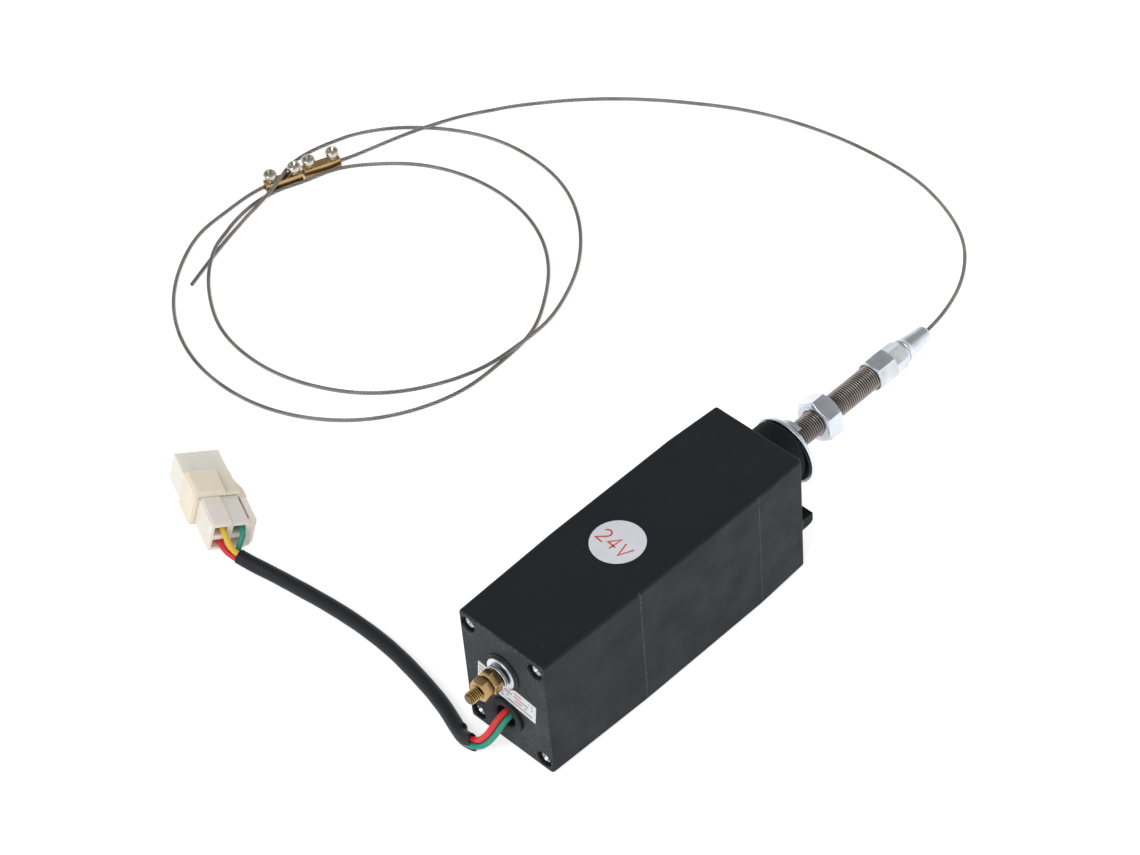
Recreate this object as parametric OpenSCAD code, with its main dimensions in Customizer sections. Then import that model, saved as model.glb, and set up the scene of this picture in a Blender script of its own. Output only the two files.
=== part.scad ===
// Fuel shutoff solenoid: a long-stroke pull solenoid in a two-part moulded housing, with a steel
// pull cable through a threaded bulkhead neck, a power stud and a short three-wire lead.
// +X runs from the rear cover towards the neck, +Z is up, and the origin is the middle of the
// housing's bottom face. Lengths are in millimetres.

/* [Housing] */
// Length of the housing from rear face to front face
housing_l = 160; // [156:1:190]
// Width of the housing over its straight middle
housing_w = 53.4; // [51:0.2:60]
// Height of the housing over its straight middle
housing_h = 70.4; // [69:0.2:80]
// Depth of the rear cover
cover_l = 57; // [50:1:64]
// Length of the drafted front end
nose_l = 29; // [15:1:40]
// Thickness of the side walls
wall = 2.6; // [2:0.1:3]
// Thickness of the rear wall
rear_wall = 3; // [2.5:0.1:4]
// Thickness of the front wall
front_wall = 4; // [3:0.5:5]
// Radius of the long outer edges
edge_r = 2; // [1.5:0.5:4]
// Radius round the rear face and the front face
end_r = 1.2; // [0.8:0.2:2]
// Inward draft of each side at the rear face
rear_draft_w = 1.4; // [0:0.1:2]
// Inward draft of top and bottom at the rear face
rear_draft_h = 0.4; // [0:0.1:1]
// Inward draft of each side at the front face
nose_draft_w = 1; // [0:0.1:2]
// Inward draft of top and bottom at the front face
nose_draft_h = 0.8; // [0:0.1:1.5]

/* [Cover screws] */
// Distance of the screws from the sides
screw_inset_w = 6.7; // [5.6:0.1:7]
// Distance of the screws from top and bottom
screw_inset_h = 6.5; // [5.6:0.1:7]
// Thread diameter of the cover screws
screw_d = 4; // [3:0.5:4]
// Head diameter of the cover screws
screw_head_d = 7.2; // [6:0.2:7.4]
// Head height of the cover screws
screw_head_h = 2.8; // [2:0.2:3]
// Diameter of the counterbores
counterbore_d = 8.4; // [7.9:0.1:8.6]
// Depth of the counterbores
counterbore_depth = 4.2; // [3.6:0.1:7]
// Length of the screws in the main housing
screw_bite = 13; // [10:1:18]

/* [Front] */
// Depth of the plunger's axis below the top
axis_drop = 22.8; // [22:0.1:23]
// Diameter of the round boss on the front face
boss_d = 30; // [26:1:34]
// Length of the round boss
boss_l = 14.6; // [10:0.2:20]
// Outer diameter of the threaded neck
neck_d = 12; // [10:0.5:14]
// Length of the neck from the front face to its end
neck_l = 85.5; // [70:0.5:100]
// Diameter of the bore for the cable in the neck
neck_bore_d = 4.4; // [3.6:0.2:6]
// Diameter of the rubber washer on the boss
neck_seal_d = 28; // [25:0.2:30]
// Thickness of the rubber washer
neck_seal_t = 1.4; // [1:0.1:2]
// Diameter of the large flat washer
neck_washer_d = 34.2; // [32:0.2:36]
// Thickness of the large flat washer
neck_washer_t = 1.8; // [1.2:0.2:2.4]
// Thickness of the neck's split washer
neck_lock_t = 2.6; // [2:0.2:3]
// Axial gap between the two ends of the neck's split washer
neck_lock_rise = 2.8; // [1:0.2:4]
// Width across flats of the neck nut
neck_nut_af = 19.8; // [17:0.2:22]
// Thickness of the neck nut
neck_nut_t = 10; // [7:0.5:11]
// Distance of the nut from the front face
neck_nut_x = 35.5; // [30:0.5:50]
// Width of the small lug low on the front face
lug_w = 9; // [6:0.5:14]
// Height of the small lug's lower edge above the bottom
lug_z = 23.8; // [20:0.2:30]
// Height of the small lug
lug_h = 6.5; // [4:0.5:10]
// Length that the small lug stands out
lug_l = 6.5; // [4:0.5:10]

/* [Cable end fitting] */
// Length of the fitting's main hexagon
fitting_hex_l = 12; // [12:0.5:20]
// Width across flats of the fitting's main hexagon
fitting_hex_af = 14.2; // [13.8:0.2:17]
// Length of the fitting's second, smaller hexagon
fitting_step_l = 8.5; // [6:0.5:12]
// Width across flats of the second hexagon
fitting_step_af = 12; // [11.4:0.2:13.6]
// Length of the tapered nozzle
nozzle_l = 18; // [12:0.5:24]
// Diameter of the nozzle where it starts
nozzle_root_d = 11.6; // [10:0.2:13]
// Diameter of the nozzle at its tip
nozzle_tip_d = 8.2; // [7:0.2:10]
// Length of neck thread inside the fitting
fitting_thread_l = 11.5; // [9:0.5:12]

/* [Cable and clamp] */
// Diameter of the steel rope
rope_d = 2; // [1.5:0.1:2.2]
// Length of each clamp bar
clamp_l = 20; // [16:0.5:20.5]
// Width of each clamp bar
clamp_w = 5; // [4:0.2:5]
// Height of each clamp bar
clamp_h = 5.2; // [4.6:0.2:5.2]
// Diameter of the bore in each clamp bar
clamp_bore_d = 3.4; // [3.4:0.1:3.6]
// Distance between the two screws in a clamp bar
clamp_pitch = 13; // [9:0.5:14]
// Thread diameter of the clamp screws
clamp_screw_d = 3; // [2.5:0.1:3]
// Head diameter of the clamp screws
clamp_head_d = 7; // [5:0.1:7]
// Head height of the clamp screws
clamp_head_h = 2.4; // [1.8:0.1:3]
// Height that a clamp screw's head stands above its bar
clamp_head_gap = 3.4; // [2.6:0.1:5]

/* [Terminal stud] */
// Height of the stud above the bottom
stud_z = 49; // [47:0.5:51]
// Thread diameter of the stud
stud_d = 6; // [5:0.5:8]
// Length of the stud outside the rear face
stud_l = 21; // [19:0.5:26]
// Width across flats of the two stud nuts
stud_nut_af = 10; // [9:0.5:13]
// Thickness of each stud nut
stud_nut_t = 5; // [4:0.2:5.4]
// Diameter of the stud's flat washer
stud_washer_d = 16; // [13:0.5:18]
// Thickness of the stud's flat washer
stud_washer_t = 1.5; // [1:0.1:1.8]
// Thickness of the stud's split washer
stud_lock_t = 1.5; // [1:0.1:1.8]
// Axial gap between the two ends of the stud's split washer
stud_lock_rise = 1.1; // [0.6:0.1:1.4]
// Diameter of the insulating ring round the stud
insulator_d = 18.8; // [17:0.2:19.4]
// Thickness of the insulating ring
insulator_t = 0.7; // [0.6:0.1:1.4]

/* [Wires and label] */
// Height of the grommet above the bottom
grommet_z = 21; // [20:0.5:22]
// Outer diameter of the grommet
grommet_d = 18; // [16.5:0.5:19]
// Diameter of the hole in the grommet
grommet_bore_d = 11; // [8:0.5:11.5]
// Diameter of the hole for the grommet in the rear wall
grommet_hole_d = 14; // [13:0.5:14.5]
// Outer diameter of each wire
wire_d = 2.8; // [2:0.1:2.8]
// Outer diameter of the sleeve over the wires
sleeve_d = 7.2; // [6.6:0.1:7.2]
// Width of the label on the rear face
label_w = 34.8; // [30:0.2:36]
// Height of the label on the rear face
label_h = 11.6; // [9:0.2:12]
// Diameter of the round sticker on the top
sticker_d = 25; // [20:0.5:30]
// Distance of the round sticker's centre from the rear face
sticker_x = 71.7; // [70:0.1:110]

/* [Connector] */
// Width of the wire housing
plug_w = 18.2; // [17.6:0.2:19]
// Height of the wire housing
plug_h = 15.4; // [15:0.2:16]
// Length of the wire housing that shows
plug_l = 19; // [16:0.5:22]
// Length of the wire housing's nose inside the mating housing
plug_nose_l = 12; // [10:0.5:13]
// Width of each wire chamber
chamber_w = 6.2; // [5.4:0.1:6.6]
// Height of each wire chamber
chamber_h = 4.8; // [4:0.1:5]
// Distance between the chambers sideways
chamber_pitch_w = 8.9; // [8.4:0.1:9.2]
// Distance between the chambers in height
chamber_pitch_h = 7.2; // [6.2:0.1:7.4]
// Length of the mating housing's wide part
shroud_l = 15; // [14:0.5:20]
// Length of the mating housing's narrow part
tail_l = 17.5; // [12:0.5:22]

/* [Solenoid] */
// Distance of the steel frame from the rear face
frame_x = 31; // [30:0.5:33]
// Thickness of the steel frame
frame_t = 3; // [2:0.2:3.4]
// Distance between the steel frame and the top wall
frame_top_gap = 1.2; // [0.5:0.1:1.4]
// Distance between the steel frame and the screw columns
frame_side_gap = 0.7; // [0.4:0.1:3]
// Thickness of the front pole plate
plate_t = 4; // [3:0.5:5]
// Distance between the pole plate and the side walls
plate_side_gap = 1; // [0.6:0.1:2.5]
// Length of the coil between frame and pole plate
coil_l = 66; // [60:0.5:68]
// Diameter of the plunger
plunger_d = 15.2; // [14:0.2:15.6]
// Stroke of the plunger
stroke = 28; // [20:1:29]
// Length of the fixed core inside the coil
core_l = 25.5; // [20:0.5:28]
// Outer diameter of the guide tube
guide_d = 17.2; // [17:0.1:17.6]
// Wall of the guide tube
guide_wall = 0.5; // [0.4:0.05:0.6]
// Distance between the bobbin's flanges and the steel frame
flange_gap = 0.4; // [0.3:0.1:1]
// Thickness of the bobbin's flanges
flange_t = 1.6; // [1.2:0.1:2.4]
// Depth of the winding below the flanges' edge
winding_inset = 0.8; // [0.6:0.1:2.6]
// Wire diameter of the return spring
spring_wire_d = 1.2; // [0.8:0.1:1.3]
// Mean diameter of the return spring
spring_d = 19.4; // [18.6:0.2:20]
// Number of turns of the return spring
spring_turns = 7.5; // [6:0.5:8]
// Diameter of the clip that holds the spring on the plunger
clip_d = 24; // [22.6:0.2:26]
// Thickness of that clip
clip_t = 1.4; // [1:0.1:1.8]

/* [Fit] */
// Radial clearance of pieces that slide
slide_gap = 0.3; // [0.2:0.05:0.35]
// Radial clearance of a screw or stud in its hole
hole_gap = 0.1; // [0.05:0.05:0.2]
// Clearance between pieces that are pushed together
push_gap = 0.15; // [0.1:0.05:0.2]
// Gap kept at each end of a moving piece
end_gap = 0.3; // [0.2:0.05:0.4]

/* [Hidden] */
$fn = 48;

black = [0.10, 0.10, 0.11];
zinc = [0.72, 0.75, 0.80];
nickel = [0.47, 0.43, 0.40];
brass = [0.72, 0.56, 0.28];
steel = [0.55, 0.55, 0.56];
cream = [0.93, 0.90, 0.82];
copper = [0.62, 0.30, 0.12];

axis_z = housing_h - axis_drop;
column_d = 10.6;
frame_h = 2 * (axis_drop - wall - frame_top_gap);
frame_w = housing_w - 2 * screw_inset_w - column_d - 2 * frame_side_gap;
plate_w = housing_w - 2 * wall - 2 * plate_side_gap;
flange_d = frame_h - 2 * frame_t - 2 * flange_gap;
winding_d = flange_d - 2 * winding_inset;

// Places along the axis, counted from the rear face
straight_end_x = housing_l - nose_l;
coil_x = frame_x + frame_t;
plate_x = coil_x + coil_l;
neck_flange_t = 3.5;
neck_flange_x = housing_l - front_wall - neck_flange_t;
bumper_t = 2;
plunger_front_x = neck_flange_x - bumper_t - end_gap;
core_face_x = coil_x + core_l;
plunger_rear_x = core_face_x + end_gap + stroke;
clip_inset = 4;
clip_x = plunger_front_x - clip_inset - clip_t;
fitting_x = housing_l + neck_l - fitting_thread_l;
nozzle_x = fitting_x + fitting_hex_l + fitting_step_l;
nozzle_tip_x = nozzle_x + nozzle_l;
washer_face_x = housing_l + boss_l + neck_seal_t;

// Cable end inside the plunger
ferrule_l = 12;
ferrule_d = 7.6;
retainer_l = 5;
plunger_bore_d = 8;
cable_start_x = plunger_front_x - retainer_l - ferrule_l;
// The moving cable ends inside the nozzle, where the flexible stretch of the same rope starts
cable_seam_inset = 1.5;

// Screw places on the rear face, as [across, up from mid-height]
screw_places = [for (sy = [-1, 1]) for (sz = [-1, 1])
    [sy * (housing_w / 2 - screw_inset_w),
     housing_h / 2 + sz * (housing_h / 2 - screw_inset_h)]];

// Corner of the connector's rear face on its centre line, and how it lies on the floor
plug_place = [-88.7, 177.5, 3.86];
plug_yaw = 67;
plug_roll = 18;
clamp_yaw = -21;
clamp_inner_place = [99.4, 347.1, 0];
clamp_outer_place = [119.8, 340.6, 0];

// Middle line of the wires and their sleeve, from the coil's terminals to the connector
lead_route = [
    [-56.3, 0, 33], [-62, 0, 31.6], [-69, 0, 26.5], [-76, 0, 21.8], [-82, 0, 21.3],
    [-85.5, 0.3, 19.5], [-88.5, 1.7, 15], [-90.6, 4, 10.4], [-92.2, 7, 6.9], [-93, 10, 5.4],
    [-93.4, 13.5, 4.6], [-92, 20, 4], [-87.5, 33, 3.7], [-82.7, 54, 3.7], [-79.7, 75, 3.7],
    [-79, 95, 3.7], [-80.2, 116, 3.7], [-82.8, 137, 3.7], [-85.5, 153, 4.2],
    [-87.5, 161, 5.2], [-89, 167.5, 6.4]
];
// Point of lead_route where the sleeve starts
sleeve_first = 9;

// Route of the free rope: out of the nozzle, down to the floor, through the clamp and round twice
rope_route = [
    [191, 0, 47.6], [198, 0.6, 47.6], [214, 4.3, 46.4], [233, 12.7, 43.3], [249, 23.8, 40],
    [262.5, 37, 35.5], [274.5, 53, 30], [285, 69.5, 23.5], [295, 91, 17], [302.5, 118.5, 10],
    [305.5, 146, 5], [303, 174.5, 2], [295, 202, 1], [282, 227, 1], [267, 250, 1],
    [249, 272, 1], [229, 291, 1], [209, 306, 1], [194, 313.5, 2.4], [176, 320.5, 3.4],
    [160, 327, 2.6], [131, 335.6, 2.6], [90.3, 351.2, 2.6], [81, 353.4, 1.8], [66, 353.5, 1.3],
    [49, 351.8, 1],    [30, 344, 1], [11, 330, 1], [-5, 310, 1], [-15, 286, 1], [-18, 262, 1], [-15, 237, 1],
    [-5, 213, 1], [11, 193, 1], [34, 178, 1], [59, 170.8, 1], [83, 171, 1], [106, 174.6, 1],
    [125, 185, 1], [142, 199, 1], [156, 218, 1], [164, 240, 1], [166, 262, 1], [162, 287, 1],
    [152, 308, 1], [138, 324, 1], [124, 334.6, 1], [107, 340.3, 1], [94.5, 345, 1],
    [69, 345.8, 1], [56, 342, 1], [43.5, 335.6, 3.2], [27, 322.5, 1.8], [18, 311, 1],
    [8, 292, 1], [3.7, 270, 1], [5, 247, 1], [12, 225, 1], [24, 205, 1], [40, 190, 1],
    [58, 179.8, 1], [77, 173, 2.2], [95, 170.9, 3.5], [113, 172.6, 2.2], [132, 178.8, 1],
    [151, 188.5, 1], [168, 202.3, 1], [182, 219.5, 1], [192, 241, 1], [195.5, 264, 1],
    [193, 289, 1], [184, 311, 1], [173.5, 326.5, 1], [158, 341.3, 1],
    [140, 350.6, 1], [128, 352.3, 2.6],
    [102.5, 348.2, 6.7], [97, 346, 6.7], [78, 344.1, 1.4], [64.5, 341, 1], [38, 332.9, 1],
    [18.8, 326, 1]
];

// Functions for swept shapes

function unit(v) = v / norm(v);

// Direction of a route at each point, with fixed first and last directions where they are given
function directions(route, first = undef, last = undef) =
    [for (i = [0 : len(route) - 1])
        i == 0 && !is_undef(first) ? first
        : i == len(route) - 1 && !is_undef(last) ? last
        : i == 0 ? unit(route[1] - route[0])
        : i == len(route) - 1 ? unit(route[i] - route[i - 1])
        : unit(unit(route[i + 1] - route[i]) + unit(route[i] - route[i - 1]))];

// Side vectors carried along the directions without twist
function carried(dirs, side, i = 0) =
    i == len(dirs) ? []
    : let (s = unit(side - (side * dirs[i]) * dirs[i])) concat([s], carried(dirs, s, i + 1));

// Rings of points round a route
function tube_rings(route, r, sides, dirs, side) =
    let (n = carried(dirs, side))
    [for (i = [0 : len(route) - 1]) [for (k = [0 : sides - 1])
        route[i] + r * (cos(360 * k / sides) * n[i] + sin(360 * k / sides) * cross(dirs[i], n[i]))]];

// Route beside another one, at a distance and an angle round it
function beside(route, dirs, side, distance, angle) =
    let (n = carried(dirs, side))
    [for (i = [0 : len(route) - 1])
        route[i] + distance * (cos(angle) * n[i] + sin(angle) * cross(dirs[i], n[i]))];

// The part of a list from one place to another
function part_of(list, a, b) = [for (i = [a : b]) list[i]];

// Closed solid through rings that all have the same number of points
module skin(rings) {
    n = len(rings[0]);
    m = len(rings);
    polyhedron(
        points = [for (ring = rings) each ring],
        faces = concat(
            [[for (k = [0 : n - 1]) k]],
            [[for (k = [n - 1 : -1 : 0]) (m - 1) * n + k]],
            [for (i = [0 : m - 2]) for (k = [0 : n - 1])
                [i * n + k, (i + 1) * n + k, (i + 1) * n + (k + 1) % n, i * n + (k + 1) % n]]
        ),
        convexity = 10
    );
}

module tube(route, d, sides, first = undef, last = undef, side = [0, 0, 1])
    skin(tube_rings(route, d / 2, sides, directions(route, first, last), side));

// Shared shapes

// Moves a piece that is measured from the rear face into the part's frame
module from_rear(x = 0, z = 0) translate([x - housing_l / 2, 0, z]) children();

module along_x() rotate([0, 90, 0]) children();

module rod(d, l) along_x() cylinder(d = d, h = l);

module ring(d, bore, l) along_x() difference() {
    cylinder(d = d, h = l);
    translate([0, 0, -1]) cylinder(d = bore, h = l + 2);
}

// Hexagon along X with its ends chamfered, both or only the front one; turn is the angle from
// +Y to a corner
module hex_bar(af, l, turn = 0, both = true) along_x() intersection() {
    rotate(turn + 90) cylinder(d = af / cos(30), h = l, $fn = 6);
    chamfer = (af / cos(30) - af * 0.95) / 2 * tan(30);
    union() {
        translate([0, 0, chamfer]) cylinder(d = af / cos(30) + 0.2, h = l - 2 * chamfer);
        translate([0, 0, l - chamfer])
            cylinder(d1 = af / cos(30) + 0.2, d2 = af * 0.95, h = chamfer);
        if (both) cylinder(d1 = af * 0.95, d2 = af / cos(30) + 0.2, h = chamfer);
        else cylinder(d = af / cos(30) + 0.2, h = chamfer);
    }
}

// Split spring washer along X: one turn of a square section whose ends stand apart
module split_washer(bore, d, t, rise, turn = 0) {
    steps = 22;
    gap_angle = 9;
    skin([for (i = [0 : steps])
        let (a = turn + gap_angle / 2 + i * (360 - gap_angle) / steps, x = rise * i / steps)
        [for (c = [[bore / 2, 0], [bore / 2, t], [d / 2, t], [d / 2, 0]])
            [x + c[1], c[0] * cos(a), c[0] * sin(a)]]]);
}

// Pan-head screw pointing along +Z, with its head below z = 0
module pan_screw(d, head_d, head_h, l) {
    dome = head_h * 0.45;
    recess_w = head_d * 0.16;
    recess_l = head_d * 0.56;
    difference() {
        union() {
            cylinder(d = d, h = l);
            translate([0, 0, -head_h]) rotate_extrude() {
                translate([0, dome]) square([head_d / 2, head_h - dome]);
                square([head_d / 2 - dome, dome]);
                intersection() {
                    translate([head_d / 2 - dome, dome]) circle(dome);
                    square([head_d / 2, dome]);
                }
            }
        }
        for (a = [0, 90]) rotate(a)
            translate([-recess_l / 2, -recess_w / 2, -head_h - 1])
                cube([recess_l, recess_w, 1 + head_h * 0.62]);
    }
}

// Ring of points round the housing's outline at x, drawn in from the straight middle
function outline(x, in_w, in_h, r) =
    let (w = housing_w / 2 - in_w - r, h = housing_h / 2 - in_h - r, steps = 8)
    [for (q = [[1, 1], [-1, 1], [-1, -1], [1, -1]]) for (k = [0 : steps])
        let (a = 90 * (q == [1, 1] ? 0 : q == [-1, 1] ? 1 : q == [-1, -1] ? 2 : 3)
            + 90 * k / steps)
        [x, q[0] * w + r * cos(a), housing_h / 2 + q[1] * h + r * sin(a)]];

// Rings that round the edge of an end face, from the face inwards
function rounded_end(x, way, in_w, in_h) =
    [for (a = [0 : 22.5 : 90]) let (inset = end_r * (1 - sin(a)))
        outline(x + way * end_r * (1 - cos(a)), in_w + inset, in_h + inset, edge_r - inset)];

function reversed(list) = [for (i = [len(list) - 1 : -1 : 0]) list[i]];

// Straight stretch of the housing's outline, drawn in by the same amount all round
module straight(x, l, inset, r) translate([x, 0, housing_h / 2]) rotate([90, 0, 90])
    linear_extrude(height = l) offset(r = r)
        square([housing_w - 2 * inset - 2 * r, housing_h - 2 * inset - 2 * r], center = true);

// Housing pieces

cavity_r = 1;
rib_t = 2.5;
// The ribs end just under the steel frame
rib_top = axis_z - frame_h / 2 - push_gap;

module rear_cover() color(black) from_rear() difference() {
    skin(concat(rounded_end(0, 1, rear_draft_w, rear_draft_h),
        [outline(cover_l, 0, 0, edge_r)]));
    difference() {
        skin([outline(rear_wall, wall + rear_draft_w, wall + rear_draft_h, cavity_r),
            outline(cover_l + 1, wall, wall, cavity_r)]);
        for (p = screw_places) translate([0, p[0], p[1]]) rod(column_d, cover_l);
        // Rib under the steel frame
        translate([frame_x + frame_t + 6, -frame_w / 2, 0])
            cube([rib_t, frame_w, rib_top]);
    }
    for (p = screw_places) translate([0, p[0], p[1]]) {
        translate([-1, 0, 0]) rod(counterbore_d, counterbore_depth + 1);
        rod(screw_d + 4 * hole_gap, cover_l + 1);
    }
    translate([-1, 0, stud_z]) rod(stud_d + 2.6 + 2 * hole_gap, rear_wall + 2);
    translate([-1, 0, grommet_z]) rod(grommet_hole_d, rear_wall + 2);
}

// Tongues that centre the cover on the housing
tongue_l = 2.5;
tongue_t = 1.2;
tongue_h = 34;
tongue_w = 24;
foot_l = 5;
foot_t = 2.8;

module tongues() {
    for (s = [-1, 1]) {
        translate([cover_l - tongue_l, s * (housing_w / 2 - wall - push_gap - tongue_t / 2)
            - tongue_t / 2, (housing_h - tongue_h) / 2])
            cube([tongue_l + foot_l, tongue_t, tongue_h]);
        // Foot that joins the tongue to the wall
        translate([cover_l, s * (housing_w / 2 - wall) - foot_t / 2, (housing_h - tongue_h) / 2])
            cube([foot_l, foot_t, tongue_h]);
    }
    translate([cover_l - tongue_l, -tongue_w / 2, wall + push_gap])
        cube([tongue_l + foot_l, tongue_w, tongue_t]);
    translate([cover_l, -tongue_w / 2, wall - foot_t / 2]) cube([foot_l, tongue_w, foot_t]);
}

module housing_body() color(black) from_rear() difference() {
    union() {
        difference() {
            union() {
                straight(cover_l, straight_end_x - cover_l, 0, edge_r);
                skin(concat([outline(straight_end_x, 0, 0, edge_r)],
                    reversed(rounded_end(housing_l, -1, nose_draft_w, nose_draft_h))));
            }
            difference() {
                union() {
                    straight(cover_l - 1, straight_end_x - cover_l + 1, wall, cavity_r);
                    skin([outline(straight_end_x, wall, wall, cavity_r),
                        outline(housing_l - front_wall, wall + nose_draft_w,
                            wall + nose_draft_h, cavity_r)]);
                }
                for (p = screw_places) translate([cover_l, p[0], p[1]])
                    rod(column_d, screw_bite + 3);
                // Ribs that carry the steel frame and the pole plate
                for (x = [coil_x + coil_l / 2, plate_x - 6, plate_x])
                    translate([x, -plate_w / 2, 0])
                        cube([rib_t, plate_w, rib_top]);
                // Upright ribs on both sides of the pole plate
                for (s = [-1, 1]) for (x = [plate_x - push_gap - rib_t, plate_x + plate_t + push_gap])
                    translate([x, s * (plate_w / 2 - 1.5) - 3 + s * 1.5, 0])
                        cube([rib_t, 6, housing_h]);
            }
        }
        tongues();
        front_boss();
        front_lug();
    }
    for (p = screw_places) translate([cover_l - 1, p[0], p[1]])
        rod(screw_d + 2 * hole_gap, screw_bite + 2);
    translate([housing_l - front_wall - 1, 0, axis_z])
        rod(neck_d + 2 * hole_gap, front_wall + boss_l + 2);
}

boss_edge_r = 1.5;

module front_boss() translate([housing_l - 1, 0, axis_z]) along_x() rotate_extrude() {
    square([boss_d / 2, boss_l + 1 - boss_edge_r]);
    square([boss_d / 2 - boss_edge_r, boss_l + 1]);
    intersection() {
        translate([boss_d / 2 - boss_edge_r, boss_l + 1 - boss_edge_r]) circle(boss_edge_r);
        square([boss_d / 2, boss_l + 1]);
    }
}

// Small lug at the right-hand edge of the front face, with its lower edge sloped
module front_lug() {
    y = housing_w / 2 - nose_draft_w - 0.4;
    translate([0, -y + lug_w, 0]) rotate([90, 0, 0]) linear_extrude(height = lug_w)
        polygon([[housing_l - 2, lug_z], [housing_l + lug_l - 1.5, lug_z + 0.6],
            [housing_l + lug_l, lug_z + 1.8], [housing_l + lug_l, lug_z + lug_h],
            [housing_l - 2, lug_z + lug_h]]);
}

module cover_screws() color(zinc) from_rear() for (p = screw_places)
    translate([counterbore_depth, p[0], p[1]]) along_x()
        pan_screw(screw_d, screw_head_d, screw_head_h, cover_l - counterbore_depth + screw_bite);

// Neck pieces

neck_flange_d = neck_d + 8;
neck_lock_w = 4.4;
neck_lock_turn = 120;
neck_nut_turn = 23;
fitting_turn = 6;
seat_gap = 0.05;

module neck_tube() color(nickel) from_rear(neck_flange_x, axis_z) difference() {
    union() {
        rod(neck_d, housing_l + neck_l - neck_flange_x);
        rod(neck_flange_d, neck_flange_t);
    }
    translate([-1, 0, 0]) rod(neck_bore_d, housing_l + neck_l - neck_flange_x + 2);
}

// Both washers are wide in the bore and hang on the neck; this is how far their middle lies off
// its axis
seal_offset = [-2.4, -2.3];
washer_offset = [0.2, -2.8];

module hanging_ring(d, t, offset) translate([0, offset[0], offset[1]])
    ring(d, neck_d + 2 * norm(offset) + hole_gap, t);

module neck_seal() color([0.06, 0.06, 0.06]) from_rear(washer_face_x - neck_seal_t, axis_z)
    hanging_ring(neck_seal_d, neck_seal_t, seal_offset);

module neck_washer() color(zinc) from_rear(washer_face_x, axis_z)
    hanging_ring(neck_washer_d, neck_washer_t, washer_offset);

module neck_lock_washer() color(zinc) from_rear(washer_face_x + neck_washer_t + seat_gap, axis_z)
    split_washer(neck_d + 3 * hole_gap, neck_d + 2 * neck_lock_w, neck_lock_t, neck_lock_rise,
        neck_lock_turn);

module neck_nut() color(zinc) from_rear(housing_l + neck_nut_x, axis_z) difference() {
    hex_bar(neck_nut_af, neck_nut_t, neck_nut_turn);
    translate([-1, 0, 0]) rod(neck_d + 2 * hole_gap, neck_nut_t + 2);
}

step_overlap = 1;
collar_l = 0.8;
groove_l = 0.8;
groove_depth = 0.5;
groove_slope = 0.2;
ring_end = 2.6;
ring_drop = 0.4;
tip_r = 1.5;

// Turned fitting that is screwed on the neck and guides the cable out
module end_fitting() color(zinc) from_rear(fitting_x, axis_z) difference() {
    union() {
        hex_bar(fitting_hex_af, fitting_hex_l, fitting_turn);
        translate([fitting_hex_l - step_overlap, 0, 0])
            hex_bar(fitting_step_af, fitting_step_l + step_overlap, fitting_turn + 30, false);
        translate([fitting_hex_l + fitting_step_l, 0, 0]) nozzle();
    }
    translate([-1, 0, 0]) rod(neck_d + 2 * hole_gap, fitting_thread_l + 1);
    translate([-1, 0, 0]) rod(rope_d + 2 * slide_gap,
        fitting_hex_l + fitting_step_l + nozzle_l + 2);
}

// Collar, ring groove and taper with a rounded tip
module nozzle() {
    along_x() rotate_extrude() difference() {
        union() {
            translate([0, -step_overlap]) square([nozzle_root_d / 2, collar_l + step_overlap]);
            polygon([[0, -step_overlap], [nozzle_root_d / 2 - groove_depth, -step_overlap],
                [nozzle_root_d / 2 - groove_depth, collar_l + groove_l],
                [nozzle_root_d / 2, collar_l + groove_l + groove_slope],
                [nozzle_root_d / 2, ring_end], [nozzle_root_d / 2 - ring_drop, ring_end + 0.6],
                [nozzle_tip_d / 2, nozzle_l - tip_r],
                [nozzle_tip_d / 2 - tip_r, nozzle_l - tip_r], [0, nozzle_l - tip_r]]);
            translate([nozzle_tip_d / 2 - tip_r, nozzle_l - tip_r]) circle(tip_r);
            translate([0, nozzle_l - 2 * tip_r])
                square([nozzle_tip_d / 2 - tip_r, 2 * tip_r]);
        }
        translate([-tip_r * 4, -2 * step_overlap])
            square([tip_r * 4, nozzle_l + 4 * step_overlap]);
    }
}

// Terminal pieces, from the rear face outwards

insulator_spigot_d = stud_d + 2.6;
stud_head_d = 11;
stud_head_t = 4;
eyelet_t = 0.8;

module terminal_insulator() color([0.07, 0.07, 0.07]) from_rear(0, stud_z) difference() {
    union() {
        translate([-insulator_t, 0, 0]) rod(insulator_d, insulator_t);
        translate([-insulator_t, 0, 0]) rod(insulator_spigot_d, insulator_t + rear_wall);
    }
    translate([-insulator_t - 1, 0, 0]) rod(stud_d + 2 * hole_gap, rear_wall + insulator_t + 2);
}

module terminal_stud() color(brass) from_rear(0, stud_z) {
    tip = stud_d * 0.13;
    translate([-stud_l + tip, 0, 0]) rod(stud_d, stud_l - tip + rear_wall + eyelet_t + 1);
    translate([-stud_l, 0, 0]) along_x() cylinder(d1 = stud_d - 2 * tip, d2 = stud_d, h = tip);
    translate([rear_wall + eyelet_t, 0, 0]) rod(stud_head_d, stud_head_t);
}

stud_lock_w = 2.8;
stud_lock_turn = 40;
stud_washer_x = insulator_t + stud_washer_t;
stud_lock_x = stud_washer_x + stud_lock_t + stud_lock_rise + seat_gap;
stud_nut_gap = 0.3;

module terminal_washer() color(zinc) from_rear(-stud_washer_x, stud_z)
    ring(stud_washer_d, stud_d + 4 * hole_gap, stud_washer_t);

module terminal_lock_washer() color(zinc)
    from_rear(-stud_lock_x + seat_gap / 2, stud_z)
        split_washer(stud_d + 3 * hole_gap, stud_d + 2 * stud_lock_w, stud_lock_t, stud_lock_rise,
            stud_lock_turn);

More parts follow.
